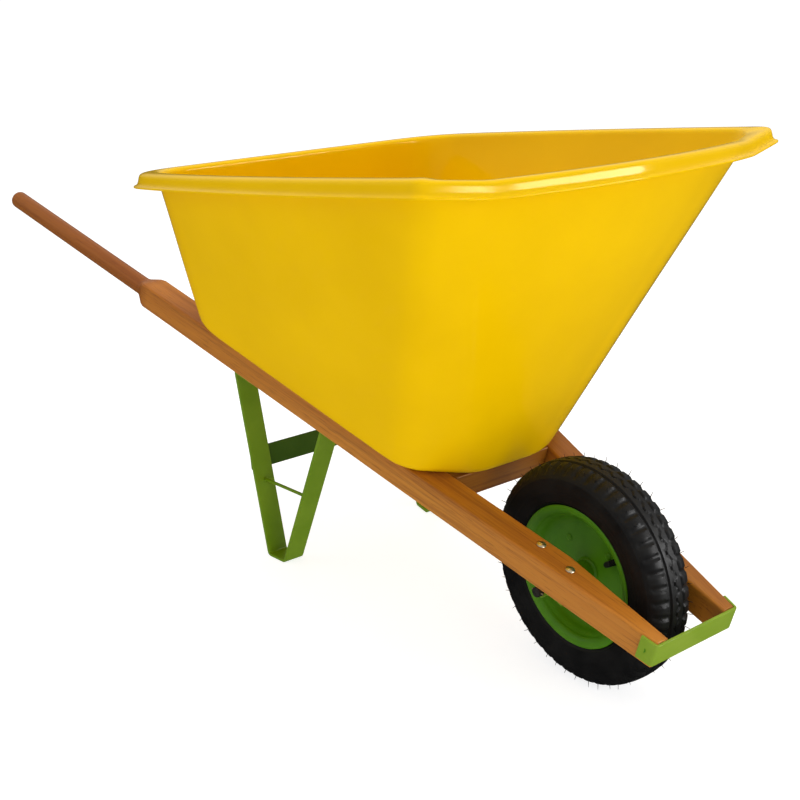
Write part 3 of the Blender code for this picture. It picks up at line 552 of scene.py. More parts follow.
def half_outline(corners, rounds, bows=(0.0, 0.0, 0.0)):
    """The left half of a tray outline, from its front middle to its rear middle."""
    front, side, rear = (Vector(corner) for corner in corners)

    def along_front(y):
        return Vector((front.x + bows[0] * (1 - (y / front.y) ** 2), y))

    def along_side(t):
        point = side.lerp(rear, t)
        point.y += bows[1] * 4 * t * (1 - t)
        return point

    def along_rear(y):
        return Vector((rear.x - bows[2] * (1 - (y / rear.y) ** 2), y))

    chamfer = (side - front).normalized()
    side_length = (rear - side).length
    front_end = front.y - rounds[0]
    side_start, side_end = rounds[1] / side_length, 1 - rounds[2] / side_length
    rear_end = rear.y - rounds[2]
    points = [along_front(front_end * i / 9) for i in range(9)]
    points += corner_points(along_front(front_end), front, front + chamfer * rounds[0], 5)
    points += corner_points(side - chamfer * rounds[1], side, along_side(side_start), 6)
    points += [along_side(side_start + (side_end - side_start) * i / 12) for i in range(1, 12)]
    points += corner_points(along_side(side_end), rear, along_rear(rear_end), 8)
    points += [along_rear(rear_end * (1 - i / 5)) for i in range(1, 6)]
    return points


def whole_outline(half):
    return half + [Vector((point.x, -point.y)) for point in reversed(half[1:-1])]


def offset_corners(corners, inset):
    """The corners of a half outline after each of its edges has moved in by `inset`."""
    front, side, rear = (Vector(corner) for corner in corners)
    slants = [Vector((edge.y, -edge.x)).normalized() for edge in (side - front, rear - side)]
    normals = [Vector((1, 0)), *slants, Vector((-1, 0))]
    moved = []
    for corner, before, after in zip((front, side, rear), normals, normals[1:]):
        moved.append(corner - (before + after) * (inset / (1 + before.dot(after))))
    return moved


def rim_ring(out, up):
    """One ring of the rim: `out` from the wall's outer face and `up` from the lip's lower edge."""
    inset = RIM_OVERHANG - out
    share = inset / RIM_OVERHANG
    rounds = [lip * (1 - share) + wall * share for lip, wall in zip(LIP_ROUND, WALL_ROUND)]
    corners = offset_corners((LIP_FRONT, LIP_SIDE, LIP_REAR), inset)
    ring = []
    for point in whole_outline(half_outline(corners, rounds, LIP_BOWS)):
        ahead = (point.x + inset - LIP_SIDE[0]) / (LIP_FRONT[0] - LIP_SIDE[0])
        drop = LIP_FRONT_DROP * min(max(ahead, 0), 1)
        height = LIP_Z + LIP_SLOPE * (point.x - LIP_SIDE[0]) - drop + up
        ring.append(Vector((point.x, point.y, height)))
    return ring


def floor_ring(inset, height):
    """The tray floor's outline, moved in by `inset`, at a height over the deck."""
    flat = whole_outline(half_outline(offset_corners(FLOOR_CORNERS, inset), FLOOR_ROUND))
    return [DECK_IN_BARROW @ Vector((point.x, point.y, height)) for point in flat]


def wall_rings(flat, edge, top):
    """Rings round the floor's fillet and up the wall, short of `top`, with a slight wave."""
    foot = [low + (high - low).normalized() * FLOOR_FILLET for low, high in zip(edge, top)]
    rings = []
    for t in (0, 0.15, 0.35, 0.5, 0.65, 0.85, 1):
        rings.append([bend(*points, t) for points in zip(flat, edge, foot)])
    for level in range(1, WALL_RINGS):
        ring = []
        for low, high in zip(foot, top):
            point = low.lerp(high, level / WALL_RINGS)
            away = Vector((point.x + 0.4, point.y * 2, 0)).normalized()
            ring.append(point + away * WALL_WAVE * noise.noise(point * WALL_WAVES_PER_METRE))
        rings.append(ring)
    return rings


def make_tray():
    """The moulded tub: one closed skin up the outside, round the rolled rim and down the inside."""
    rim = [rim_ring(out, up) for out, up in RIM_SECTION]
    outer = wall_rings(floor_ring(FLOOR_FILLET, GAP), floor_ring(0, GAP), rim[0])
    height = GAP + TRAY_WALL
    flat = floor_ring(FLOOR_FILLET + TRAY_WALL, height)
    inner = wall_rings(flat, floor_ring(TRAY_WALL, height), rim[-1])
    inset = FLOOR_FILLET + 0.01
    floor_under, floor_top = floor_ring(inset, GAP), floor_ring(inset, height)
    rings = [floor_under, *outer, *rim, *reversed(inner), floor_top]
    tray = add_piece("tray", loft_mesh("tray_shell", rings), YELLOW, BARROW)
    subdivide = tray.modifiers.new("smooth", "SUBSURF")
    subdivide.levels = 1
    subdivide.render_levels = 1


# Wooden parts

def handle_outer(s):
    """How far from the middle plane a handle's outer face is, at s from the nose."""
    return HANDLE_HALF_AT_NOSE + s * math.tan(SPLAY)


def handle_width(s):
    """The width of a handle at s, which tapers at the nose."""
    return NOSE_WIDTH + (BEAM_WIDTH - NOSE_WIDTH) * min(max(s, 0) / NOSE_TAPER, 1)


def handle_middle(s):
    return handle_outer(s) - handle_width(s) / 2


def soft_square(centre, across, half_width, half_height, corner):
    """Points round a rectangle with rounded corners, or a circle if the corner is the half width."""
    steps = 6
    points = []
    for quarter in range(4):
        sign_u = 1 if quarter in (0, 3) else -1
        sign_v = 1 if quarter in (0, 1) else -1
        for step in range(steps + 1):
            angle = (quarter + step / steps) * math.pi / 2
            u = sign_u * (half_width - corner) + corner * math.cos(angle)
            v = sign_v * (half_height - corner) + corner * math.sin(angle)
            points.append(centre + across * u + Vector((0, 0, v)))
    return points


def make_handle(where, side):
    """A square beam, tapered on its inner face at the nose and turned down to a round grip."""
    across = Vector((0, 1, 0))
    across_grip = Vector((math.sin(SPLAY), math.cos(SPLAY), 0))
    half_height = BEAM_HEIGHT / 2
    beam_length = SHOULDER_START - NOSE_TAPER
    sections = [(0.0, 0.0012)] + [(0.0015 + NOSE_TAPER * i / 6, 0.0) for i in range(6)]
    sections += [(NOSE_TAPER + beam_length * i / 24, 0.0) for i in range(25)]
    rings = []
    for s, inset in sections:
        centre = Vector((-s, handle_middle(s), -half_height))
        worn = 0.0006 * noise.noise(Vector((s * 5, side * 3.0, 0)))
        corner = BEAM_EDGE + 2 * worn
        half = handle_width(s) / 2 - inset
        rings.append(soft_square(centre, across, half, half_height - inset, corner))
    for t in (0.25, 0.5, 0.75):
        ease = t * t * (3 - 2 * t)
        s = SHOULDER_START + (SHOULDER_END - SHOULDER_START) * t
        half = BEAM_WIDTH / 2 + (GRIP_RADIUS - BEAM_WIDTH / 2) * ease
        high = half_height + (GRIP_RADIUS - half_height) * ease
        corner = BEAM_EDGE + (GRIP_RADIUS - BEAM_EDGE) * ease
        centre = Vector((-s, handle_middle(s), -half_height))
        corner = min(corner, half, high)
        rings.append(soft_square(centre, across.lerp(across_grip, t), half, high, corner))
    end_round = GRIP_RADIUS * 0.4
    grip_length = GRIP_END - end_round - SHOULDER_END
    grip = [(SHOULDER_END + grip_length * i / 8, GRIP_RADIUS) for i in range(9)]
    for i in range(1, 6):
        angle = math.pi / 2 * i / 5
        s = GRIP_END - end_round * (1 - math.sin(angle))
        grip.append((s, GRIP_RADIUS - end_round * (1 - math.cos(angle))))
    for s, radius in grip:
        centre = Vector((-s, handle_middle(s), -half_height))
        rings.append(soft_square(centre, across_grip, radius, radius, radius))
    for ring in rings:
        for point in ring:
            point.y *= side
    name = f"handle_{where}"
    mesh = loft_mesh(f"{name}_beam", rings, 60)
    nose = Matrix.Translation((0, side * HANDLE_HALF_AT_NOSE, 0))
    along = DECK @ nose @ Matrix.Rotation(-side * SPLAY, 4, "Z")
    mesh.transform(along.inverted() @ DECK)
    handle = add_piece(name, mesh, WOOD[name], along)
    handle.modifiers.new("flat_faces", "WEIGHTED_NORMAL").keep_sharp = True


def block_mesh(name, corners, low, high):
    """A straight block over the given plan corners."""
    return loft_mesh(name, [[Vector((x, y, z)) for x, y in corners] for z in (low, high)], 30)


def make_crosspieces():
    """Wooden blocks between the handles. The piece lies along its own X axis, as its grain does."""
    for name, front_s in CROSSPIECES:
        rear_s = front_s + CROSSPIECE_DEPTH
        front = handle_outer(front_s) - BEAM_WIDTH - GAP
        rear = handle_outer(rear_s) - BEAM_WIDTH - GAP
        corners = [(-front_s, -front), (-front_s, front), (-rear_s, rear), (-rear_s, -rear)]
        mesh = block_mesh(f"{name}_block", corners, -BEAM_HEIGHT, 0)
        along = DECK @ Matrix.Rotation(math.pi / 2, 4, "Z")
        mesh.transform(along.inverted() @ DECK)
        bevelled(add_piece(name, mesh, WOOD[name], along), BLOCK_EDGE)


# Steel straps

def rounded_path(path, radius, steps=5):
    """A path of 2D points whose bends are rounded."""
    points = [path[0]]
    for before, corner, after in zip(path, path[1:], path[2:]):
        start = corner + (before - corner).normalized() * radius
        end = corner + (after - corner).normalized() * radius
        points += corner_points(start, corner, end, steps)
    return points + [path[-1]]


def ribbon_mesh(name, path, thickness, half_width):
    """A strap with one face along `path` in the XY plane and the other on its left."""
    rings = []
    for i, point in enumerate(path):
        ahead = (path[i + 1] - point).normalized() if i < len(path) - 1 else None
        behind = (point - path[i - 1]).normalized() if i > 0 else None
        first, second = behind or ahead, ahead or behind
        mitre = (first + second).normalized()
        left = Vector((-mitre.y, mitre.x)) * (thickness / mitre.dot(first))
        outer = point + left
        rings.append([
            Vector((*point, -half_width)), Vector((*outer, -half_width)),
            Vector((*outer, half_width)), Vector((*point, half_width)),
        ])
    return loft_mesh(name, rings, 30)


def leg_path():
    """The leg strap's outer face in its own plane, from the rear arm's tab to the front one's."""
    def under_handle(s):
        point = DECK_IN_BARROW @ Vector((-s, 0, -BEAM_HEIGHT - GAP))
        return Vector((point.x, point.z))

    return [
        under_handle(LEG_REAR_S - LEG_TAB), under_handle(LEG_REAR_S), Vector((FOOT_REAR_X, 0)),
        Vector((FOOT_FRONT_X, 0)), under_handle(LEG_FRONT_S), under_handle(LEG_FRONT_S + LEG_TAB),
    ]


def leg_shear(side):
    """The shear that puts an upright strap under its handle: splayed, and leaning outwards."""
    top = DECK_IN_BARROW @ Vector((-LEG_REAR_S, 0, -BEAM_HEIGHT))
    foot_x = (FOOT_REAR_X + FOOT_FRONT_X) / 2
    spread = math.tan(SPLAY) / math.cos(DECK_SLOPE)
    lean = (handle_middle(LEG_REAR_S) - FOOT_MID_Y - spread * (foot_x - top.x)) / top.z
    shear = Matrix.Identity(4)
    shear[1][0] = -spread * side
    shear[1][2] = lean * side
    shear[1][3] = (FOOT_MID_Y + spread * foot_x) * side
    return shear


def make_legs():
    """A strap bent to a V with a flat foot, under each handle."""
    path = rounded_path(leg_path(), LEG_BEND)
    for where, side in SIDES:
        name = f"leg_{where}"
        mesh = ribbon_mesh(f"{name}_strap", path, STRAP_THICKNESS, STRAP_WIDTH / 2)
        mesh.transform(leg_shear(side) @ UPRIGHT)
        if side < 0:
            mesh.flip_normals()
        bevelled(add_piece(name, mesh, GREEN, BARROW), STRAP_EDGE)


def make_brace():
    """The flat bar across the two rear arms, with weld beads along its edges where they meet."""
    _, top, foot, _, _, _ = leg_path()
    lean = math.atan2(top.x - foot.x, top.y - foot.y)
    x = foot.x + BRACE_Z * math.tan(lean)
    arm_y = (leg_shear(1) @ Vector((x, 0, BRACE_Z))).y
    reach = arm_y + STRAP_WIDTH * 0.45
    corners = [(-BRACE_THICKNESS, -reach), (0, -reach), (0, reach), (-BRACE_THICKNESS, reach)]
    mesh = block_mesh("brace_bar", corners, -BRACE_WIDTH / 2, BRACE_WIDTH / 2)
    place = BARROW @ Matrix.Translation((x - 2 * GAP, 0, BRACE_Z)) @ Matrix.Rotation(lean, 4, "Y")
    bevelled(add_piece("leg_brace", mesh, GREEN_BRACE_SHADED, place), STRAP_EDGE)
    weld_z = BRACE_WIDTH / 2 + WELD_OFFSET
    for where, side in SIDES:
        for edge, height in (("top", weld_z), ("bottom", -weld_z)):
            name = f"brace_weld_{where}_{edge}"
            mesh = weld_mesh(name, Vector((-0.0010, arm_y * side, height)))
            add_piece(name, mesh, GREEN_BRACE_SHADED, place, beside="leg_brace")


def weld_mesh(name, middle):
    """A rippled weld bead along Y."""
    rings = []
    for i in range(25):
        along = 2 * i / 24 - 1
        ripple = 1 + 0.16 * math.sin(i * 1.9)
        radius = WELD_RADIUS * math.sqrt(max(1 - along ** 6, 0.02)) * ripple
        centre = middle + Vector((0, STRAP_WIDTH * 0.42 * along, 0))
        angles = [2 * math.pi * k / 12 for k in range(12)]
        rings.append([centre + Vector((radius * math.cos(a), 0, radius * math.sin(a))) for a in angles])
    return loft_mesh(name, rings, 60)


def make_leg_rods():
    """A thin tie rod between the two arms of each leg."""
    _, rear_top, rear_foot, front_foot, front_top, _ = leg_path()
    for where, side in SIDES:
        ends = []
        for foot, top, inwards in ((rear_foot, rear_top, 1), (front_foot, front_top, -1)):
            lean = math.atan2(top.x - foot.x, top.y - foot.y)
            x = foot.x + (LEG_ROD_Z - foot.y) * math.tan(lean)
            clear = STRAP_THICKNESS / math.cos(lean) + LEG_ROD_RADIUS * abs(math.tan(lean)) + 2 * GAP
            ends.append(leg_shear(side) @ Vector((x + inwards * clear, 0, LEG_ROD_Z)))
        start, end = ends
        profile = tube_section(NEAR_ZERO, LEG_ROD_RADIUS, 0, (end - start).length, 0.0004)
        turn = (end - start).to_track_quat("Z", "Y").to_matrix().to_4x4()
        add_turned(f"leg_rod_{where}", profile, GREEN, BARROW @ Matrix.Translation(start) @ turn)


def make_brackets():
    """A saddle strap that holds the axle up against a plate under each handle, and that plate."""
    axle = AXLE_IN_DECK
    plate_top = -BEAM_HEIGHT - GAP - axle.z
    ear_top = plate_top - BRACKET_PLATE - GAP
    inner = AXLE_RADIUS + GAP
    half = BRACKET_HALF_LENGTH
    start, corner = Vector((inner, ear_top - BRACKET_BEND)), Vector((inner, ear_top))
    right = corner_points(start, corner, Vector((inner + BRACKET_BEND, ear_top)), 4)
    right.append(Vector((half, ear_top)))
    left = [Vector((-point.x, point.y)) for point in reversed(right)]
    angles = [math.pi * (1 + i / 20) for i in range(21)]
    path = left + [Vector((inner * math.cos(a), inner * math.sin(a))) for a in angles] + right
    wide = BRACKET_HALF_WIDTH
    corners = [(-half, -wide), (half, -wide), (half, wide), (-half, wide)]
    for where, side in SIDES:
        place = DECK @ Matrix.Translation((axle.x, BRACKET_Y * side, axle.z))
        saddle = ribbon_mesh(f"saddle_{where}", path, -BRACKET_THICKNESS, wide)
        saddle.transform(UPRIGHT)
        bevelled(add_piece(f"axle_bracket_{where}", saddle, GREEN, place), STRAP_EDGE)
        plate = block_mesh(f"plate_{where}", corners, plate_top - BRACKET_PLATE, plate_top)
        bevelled(add_piece(f"axle_plate_{where}", plate, GREEN, place), PLATE_EDGE)


def make_guard():
    """A flat bar bent round the noses of both handles, and the screw that holds each end."""
    out = handle_outer(0) + GAP
    back = Vector((-GUARD_RETURN, GUARD_RETURN * math.tan(SPLAY)))
    left = [Vector((GAP, out)), Vector((0, out)) + back]
    path = [Vector((p.x, -p.y)) for p in reversed(left)] + left
    bent = rounded_path(path, GUARD_BEND, 3)
    mesh = ribbon_mesh("guard_bar", bent, -GUARD_THICKNESS, GUARD_HEIGHT / 2)
    place = DECK @ Matrix.Translation((0, 0, GUARD_MIDDLE_Z))
    bevelled(add_piece("nose_guard", mesh, GREEN_GUARD_LIT, place), STRAP_EDGE)
    for where, side in SIDES:
        s = GUARD_RETURN * 0.6
        face = Vector((-s, (handle_outer(s) + GAP + GUARD_THICKNESS) * side, GUARD_MIDDLE_Z))
        turn = Matrix.Rotation(SPLAY * side, 4, "Z") @ Matrix.Rotation(math.radians(-90 * side), 4, "X")
        make_guard_screw(where, DECK @ Matrix.Translation(face) @ turn)


def make_guard_screw(where, place):
    """A countersunk wood screw whose plain, slightly dished head is flush with the guard."""
    wide = SCREW_HEAD_RADIUS
    profile = [
        (0.0002, -0.0004), (wide * 0.8, -0.0003), (wide - 0.0002, -GAP), (wide, -0.0006),
        (SCREW_RADIUS, -0.0026), (SCREW_RADIUS, -0.0180), (0.0002, -0.0240),
    ]
    add_turned(f"guard_screw_{where}", profile, GREEN_RIM_SHADED, place)


# Bolts

def carriage_head(name, place):
    """A carriage bolt: its domed head over a plain shank as long as the CAD's."""
    top, wide = BOLT_HEAD_HEIGHT, BOLT_HEAD_RADIUS
    profile = [(0.0002, top)]
    for i in range(1, 8):
        angle = math.pi / 2 * i / 7
        profile.append((wide * math.sin(angle), top * (0.12 + 0.88 * math.cos(angle))))
    low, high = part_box(name)
    reach = (high - low).z - 2 * wide * math.sin(DECK_SLOPE)
    length = reach / math.cos(DECK_SLOPE) - top
    profile += [
        (wide, 0), (BOLT_RADIUS, 0), (BOLT_RADIUS, 0.0006 - length), (BOLT_RADIUS - 0.0006, -length),
        (0.0002, -length),
    ]
    add_turned(name, profile, ZINC, place)


def make_bolts():
    """Each bolt's head sits on a handle or on the tray's floor, and its nut under what it holds."""
    tray_top = 2 * GAP + TRAY_WALL
    bracket_seat = -BEAM_HEIGHT - 2 * GAP - BRACKET_PLATE - BRACKET_THICKNESS
    leg_seat = -BEAM_HEIGHT - GAP - STRAP_THICKNESS
    spots = []
    for where, side in SIDES:
        for end, shift in (("front", -1), ("rear", 1)):
            s = -AXLE_IN_DECK.x + shift * BRACKET_BOLT_HALF_PITCH
            spots.append((f"bracket_{where}_{end}", s, BRACKET_Y * side, GAP, bracket_seat))
        for end, s in (("rear", LEG_REAR_S - LEG_TAB * 0.6), ("front", LEG_FRONT_S + LEG_TAB * 0.6)):
            spots.append((f"leg_{where}_{end}", s, handle_middle(s) * side, tray_top, leg_seat))
    spots.append(("tray_front", CROSSPIECES[0][1] + CROSSPIECE_DEPTH / 2, 0, tray_top, -BEAM_HEIGHT))
    for name, s, y, top, seat in spots:
        carriage_head(f"{name}_bolt", DECK @ Matrix.Translation((-s, y, top)))
        nut = f"{name}_nut"
        add_piece(nut, nut_mesh(nut), ZINC, DECK @ Matrix.Translation((-s, y, seat - GAP)))


def nut_mesh(name):
    """A hexagon nut from z = 0 down, with the corners of both faces turned off."""
    def ring(limit, z):
        points = []
        for i in range(48):
            angle = 2 * math.pi * i / 48
            flat = NUT_RADIUS * math.cos(math.pi / 6) / math.cos(angle % (math.pi / 3) - math.pi / 6)
            points.append(polar(min(flat, limit), angle, z))
        return points

    bore = BOLT_RADIUS + GAP
    turned_off = NUT_RADIUS * 0.88
    rings = [
        ring(bore, 0), ring(turned_off, 0), ring(NUT_RADIUS, -NUT_EDGE),
        ring(NUT_RADIUS, NUT_EDGE - NUT_HEIGHT), ring(turned_off, -NUT_HEIGHT), ring(bore, -NUT_HEIGHT),
    ]
    return loft_mesh(name, rings, 25, closed=True)


# Wheel

def tread_cut(angle, y):
    """How deep the tread is cut, from 0 to 1: two grooves, a zigzag sipe and gaps between lugs."""
    across = abs(y)
    side = 1 if y > 0 else -1
    phase = (angle * TREAD_BLOCKS / (2 * math.pi) + 0.25 * side) % 1

    def bell(value, centre, half):
        return max(0.0, 1 - (abs(value - centre) / half) ** 4)

    groove = bell(across, GROOVE_Y, GROOVE_HALF)
    zigzag = SIPE_SWING * math.sin(angle * TREAD_BLOCKS)
    middle = bell(y, zigzag, SIPE_HALF) if across < SIPE_REACH else 0.0
    lugs = bell(phase, 0.5, 0.17) if across > LUG_START else 0.0
    fade = min(max((TREAD_HALF - across) / 0.004, 0), 1)
    return max(groove, 0.8 * middle, lugs * fade)


def wall_rib(radius):
    """How far the thin raised rings on the side walls stand out at a radius."""
    ribs = [max(0.0, 1 - ((radius - middle) / WALL_RIB_HALF) ** 2) for middle in WALL_RIB_RADII]
    return sum(ribs) * WALL_RIB_HEIGHT


def make_tyre():
    """A bias-ply tyre: lugged tread, ringed side walls, and beads inside the rims."""
    outer = smooth_line(TYRE_OUTER_FACE[:6], 10) + [Vector(p) for p in TYRE_OUTER_FACE[6:]]
    inner = [Vector(p) for p in TYRE_INNER_FACE]
    right = [Vector((p.x, -p.y)) for p in reversed(outer[1:])]
    section = outer + inner + [Vector((p.x, -p.y)) for p in reversed(inner)] + right
    treaded = len(outer)
    steps = TREAD_BLOCKS * 8
    rings = []
    for index, (radius, y) in enumerate(section):
        outside = index < treaded or index >= len(section) - len(right)
        out = y
        if outside and radius < TREAD_INNER_RADIUS:
            out += math.copysign(wall_rib(radius), y)
        ring = []
        for i in range(steps):
            angle = 2 * math.pi * i / steps
            reach = radius
            if outside and radius > TREAD_INNER_RADIUS and abs(y) < TREAD_HALF:
                reach -= TREAD_DEPTH * tread_cut(angle, y)
            ring.append(polar(reach, angle, out))
        rings.append(ring)
    add_piece("tyre", loft_mesh("tyre_casing", rings, 40, closed=True), RUBBER, WHEEL)


def make_vent_hairs():
    """The thin moulding hairs that stand out of both shoulders of a new tyre."""
    def build(work):
        for side in (1, -1):
            for i in range(VENT_HAIRS):
                angle = 2 * math.pi * (i + 0.25 * side + 0.2 * random.random()) / VENT_HAIRS
                radial = Vector((math.cos(angle), math.sin(angle), 0))
                lean = Vector((-math.sin(angle), math.cos(angle), 0)) * random.uniform(-0.35, 0.35)
                root = radial * VENT_HAIR_ROOT[0] + Vector((0, 0, VENT_HAIR_ROOT[1] * side))
                away = (radial + lean + Vector((0, 0, 0.30 * side))).normalized()
                tip = root + away * VENT_HAIR_LENGTH * random.uniform(0.75, 1.2)
                turn = away.to_track_quat("Z", "Y").to_matrix().to_4x4()
                bmesh.ops.create_cone(
                    work, cap_ends=True, segments=6, radius1=0.0006, radius2=0.0003,
                    depth=(tip - root).length, matrix=Matrix.Translation((root + tip) / 2) @ turn,
                )
    add_piece("tyre_vent_hairs", mesh_from(build, "vent_hairs"), RUBBER, WHEEL, beside="tyre")


def make_rims():
    """Two pressed dishes, back to back, with a hole for the valve and one for reaching it."""
    flip = Matrix.Rotation(math.pi / 2, 4, "Y")
    for where, side in SIDES:
        outer = [Vector(RIM_OUTER_FACE[0]), *smooth_line(RIM_OUTER_FACE[1:], 5)]
        inner = [*smooth_line(RIM_INNER_FACE[:-1], 5), Vector(RIM_INNER_FACE[-1])]
        rim = add_turned(f"rim_{where}", outer + inner, GREEN_RIM_SHADED, WHEEL, WHEEL_STEPS, side, True)
        vent = Matrix.Translation((0, 0, VENT_Y * side)) @ Matrix.Rotation(-VALVE_ANGLE, 4, "Z")
        holes = [(VENT_HOLE, *RIM_WELL_SPAN, WHEEL @ vent @ Matrix.Rotation(math.pi, 4, "Z") @ flip)]
        if side < 0:
            valve = Matrix.Translation((0, 0, VALVE_Y)) @ Matrix.Rotation(-VALVE_ANGLE, 4, "Z")
            holes.append((VALVE_HOLE, *RIM_WELL_SPAN, WHEEL @ valve @ flip))
        drilled(rim, holes)


def make_hub():
    """The hub tube with a weld bead round it on each rim, and a flanged bush in each end."""
    hub = tube_section(HUB_BORE, HUB_RADIUS, -HUB_HALF, HUB_HALF)
    face = RIM_OUTER_FACE[0][1] + GAP
    bead = [
        (HUB_RADIUS, face + 0.0045), (HUB_RADIUS + 0.0018, face + 0.0036),
        (HUB_RADIUS + 0.0034, face + 0.0016), (HUB_RADIUS + 0.0038, face), (HUB_RADIUS, face),
    ]
    # The beads go half way through the section, on the outer face of the tube
    hub[4:4] = [(radius, -z) for radius, z in bead] + bead[::-1]
    add_turned("hub", hub, GREEN_RIM_SHADED, WHEEL, ROUND_STEPS, closed=True)
    bore = AXLE_RADIUS + GAP
    snug = HUB_BORE - GAP
    start = HUB_HALF + GAP
    for where, side in SIDES:
        section = [(bore, start - BUSH_DEPTH), (snug, start - BUSH_DEPTH), (snug, start)]
        section += tube_section(HUB_BORE, HUB_RADIUS - 0.001, start, start + BEARING_FLANGE)[1:-1]
        section += [(bore, start + BEARING_FLANGE)]
        add_turned(f"bearing_{where}", section, NYLON, WHEEL, ROUND_STEPS, side, True)


def make_axle():
    """The axle rod, a cross pin near each of its ends, and the spacer tubes beside the hub."""
    rod = tube_section(NEAR_ZERO, AXLE_RADIUS, -AXLE_HALF, AXLE_HALF, 0.0010)
    add_turned("axle", rod, DARK, WHEEL, ROUND_STEPS)
    pin_half = AXLE_RADIUS + AXLE_PIN_END
    low = HUB_HALF + BEARING_FLANGE + GAP * 2
    high = BRACKET_Y - BRACKET_HALF_WIDTH - GAP
    for where, side in SIDES:
        pin = tube_section(NEAR_ZERO, AXLE_PIN_RADIUS, -pin_half, pin_half, 0.0004)
        along = Matrix.Translation((0, 0, AXLE_PIN_Y * side)) @ Matrix.Rotation(math.pi / 2, 4, "Y")
        add_turned(f"axle_pin_{where}", pin, ZINC, WHEEL @ along, 24)
        tube = tube_section(AXLE_RADIUS + GAP, SPACER_RADIUS, low, high)
        add_turned(f"axle_spacer_{where}", tube, ZINC, WHEEL, ROUND_STEPS, side, True)


def make_rivets():
    """Domed rivets that hold the two dishes together."""
    head = RIVET_RADIUS * 2
    face = RIM_OUTER_FACE[0][1] + GAP
    profile = [(NEAR_ZERO, face + RIVET_HEAD_HEIGHT)]
    for i in range(1, 7):
        angle = math.pi / 2 * i / 6
        profile.append((head * math.sin(angle), face + RIVET_HEAD_HEIGHT * math.cos(angle)))
    profile.append((RIVET_RADIUS, face))
    profile += [(radius, -z) for radius, z in reversed(profile)]
    for number in range(1, RIVET_COUNT + 1):
        angle = 2 * math.pi * (number - 0.5) / RIVET_COUNT
        spot = Vector((math.cos(angle), -math.sin(angle), 0)) * RIVET_CIRCLE
        add_turned(f"rim_rivet_{number}", profile, GREEN_RIM_SHADED, WHEEL @ Matrix.Translation(spot))


def make_valve():
    """A ribbed rubber stem that points at the hub, and its cap with a knurled skirt."""
    turn = Matrix.Rotation(math.pi / 2 - VALVE_ANGLE, 4, "Y")
    place = Matrix.Translation((AXLE_X, VALVE_Y, TYRE_RADIUS)) @ turn
    low, high, wide = VALVE_END - 0.004, VALVE_END + 0.009, VALVE_CAP_RADIUS
    neck = VALVE_RADIUS - 0.0010
    stem = [(NEAR_ZERO, VALVE_TOP), (VALVE_RADIUS, VALVE_TOP)]
    for i in range(9):
        rib = VALVE_TOP - 0.006 - 0.0045 * i
        stem += [(VALVE_RADIUS, rib), (neck, rib - 0.0006)]
        stem += [(neck, rib - 0.0022), (VALVE_RADIUS, rib - 0.0028)]
    stem += [(VALVE_RADIUS, high + 0.003), (VALVE_RADIUS * 0.6, high + 0.001), (NEAR_ZERO, high + 0.001)]
    add_turned("valve_stem", stem, RUBBER, place)
    rings = []
    shape = [
        (0.0008, low), (wide - 0.0012, low), (wide - 0.0004, low + 0.0004), (wide, low + 0.0014),
        (wide, high - 0.0004), (wide - 0.0006, high),
    ]
    for radius, z in shape:
        ring = []
        for i in range(64):
            angle = 2 * math.pi * i / 64
            reach = radius - (0.00025 if i % 4 < 2 and radius == wide else 0)
            ring.append(polar(reach, angle, z))
        rings.append(ring)
    add_piece("valve_cap", loft_mesh("valve_cap", rings, 40), NYLON, place)


# Studio

def make_floor():
    """A white floor that glows enough to photograph as white and still takes soft shadows."""
    def build(work):
        bmesh.ops.create_grid(work, x_segments=8, y_segments=8, size=FLOOR_HALF)

    floor = new_object("studio_floor", mesh_from(build, "studio_floor"))
    look = Shading("floor_look", roughness=0.9, specular=0.0)
    look.put(look.shader, {"Emission Color": WHITE, "Emission Strength": 0.80})
    speckle = look.noise(40, detail=2)
    floor.data.materials.append(look.finish(look.ramp(speckle, ((0.3, 0.44), (0.7, 0.46)))))
    floor.visible_glossy = False


def make_backdrop():
    """A plain white dome, seen by the camera alone, behind and over the floor."""
    profile = []
    for i in range(13):
        angle = math.pi / 2 * i / 12
        profile.append((BACKDROP_RADIUS * math.cos(angle) + 0.001, BACKDROP_RADIUS * math.sin(angle) - 0.5))
    dome = new_object("studio_backdrop", turned_mesh("studio_backdrop", profile, ROUND_STEPS))
    look = Shading("backdrop_look", roughness=1.0, specular=0.0)
    look.put(look.shader, {"Emission Color": WHITE, "Emission Strength": 1.0})
    dome.data.materials.append(look.finish((0, 0, 0, 1)))
    for ray in ("diffuse", "glossy", "shadow", "transmission"):
        setattr(dome, f"visible_{ray}", False)


def add_area_light(name, place, target, size, power, shine=True, wash=True):
    """A rectangular light. Without `shine` it isn't mirrored; without `wash` it is only mirrored."""
    light = bpy.data.lights.new(name, "AREA")
    light.shape = "RECTANGLE"
    light.size, light.size_y = size
    light.energy = power
    lamp = new_object(name, light)
    lamp.location = place
    lamp.rotation_euler = (Vector(target) - Vector(place)).to_track_quat("-Z", "Y").to_euler()
    lamp.visible_glossy = shine
    lamp.visible_diffuse = wash


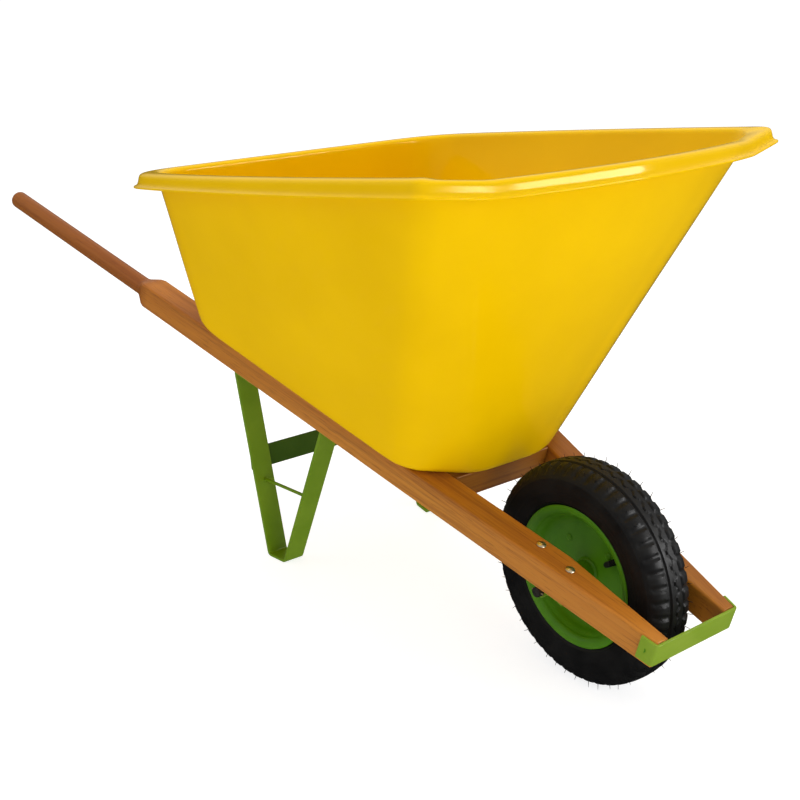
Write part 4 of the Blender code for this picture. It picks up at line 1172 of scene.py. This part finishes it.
def make_lights():
    """A world that brightens upwards, three broad lights, and a strip mirrored in the rim."""
    world = bpy.data.worlds.new("studio")
    world.use_nodes = True
    tree = world.node_tree
    direction = tree.nodes.new("ShaderNodeTexCoord").outputs["Generated"]
    split = tree.nodes.new("ShaderNodeSeparateXYZ")
    tree.links.new(direction, split.inputs["Vector"])
    dome = tree.nodes.new("ShaderNodeMapRange")
    tree.links.new(split.outputs["Z"], dome.inputs["Value"])
    for key, value in (("From Min", -0.02), ("From Max", 0.35), ("To Min", 0.03), ("To Max", 0.62)):
        dome.inputs[key].default_value = value
    tree.links.new(dome.outputs["Result"], tree.nodes["Background"].inputs["Strength"])
    tree.nodes["Background"].inputs["Color"].default_value = WHITE
    bpy.context.scene.world = world
    bpy.context.scene.view_settings.view_transform = "Standard"
    add_area_light("front_wash", (3.4, 0.3, 1.3), (0.3, 0, 0.6), (1.6, 1.2), 25, shine=False)
    add_area_light("front_strip", (3.31, 1.15, 1.37), (0.65, -0.12, 0.81), (2.05, 0.85), 125, wash=False)
    add_area_light("side_wash", (-1.2, -3.4, 2.2), (0, 0, 0.4), (2.2, 1.6), 10, shine=False)
    add_area_light("top_wash", (0.2, 0.3, 3.6), (0, 0, 0.5), (2.4, 2.4), 62, shine=False)


def make_camera():
    """The camera of the photo, as a place, an azimuth, an elevation and a slight roll."""
    data = bpy.data.cameras.new("camera")
    data.sensor_width = 36
    data.lens = CAMERA_LENS
    data.shift_x, data.shift_y = CAMERA_SHIFT
    camera = new_object("camera", data)
    flat = math.cos(CAMERA_ELEVATION)
    side, ahead = math.sin(CAMERA_AZIMUTH) * flat, math.cos(CAMERA_AZIMUTH) * flat
    back = Vector((side, -ahead, math.sin(CAMERA_ELEVATION)))
    level = (-back).cross(Vector((0, 0, 1))).normalized()
    upright = back.cross(level)
    right = level * math.cos(CAMERA_ROLL) + upright * math.sin(CAMERA_ROLL)
    up = upright * math.cos(CAMERA_ROLL) - level * math.sin(CAMERA_ROLL)
    turn = Matrix((right, up, back)).transposed().to_4x4()
    camera.matrix_world = Matrix.Translation(CAMERA_PLACE) @ turn
    bpy.context.scene.camera = camera


make_tray()
make_handle("left", 1)
make_handle("right", -1)
make_crosspieces()
make_legs()
make_brace()
make_leg_rods()
make_guard()
make_brackets()
make_bolts()
make_axle()
make_tyre()
make_vent_hairs()
make_rims()
make_rivets()
make_hub()
make_valve()
# The inner tube is the one CAD node that stays
inner_tube = frame["nodes"]["inner_tube"].data.materials
inner_tube.clear()
inner_tube.append(RUBBER)
make_floor()
make_backdrop()
make_lights()
make_camera()
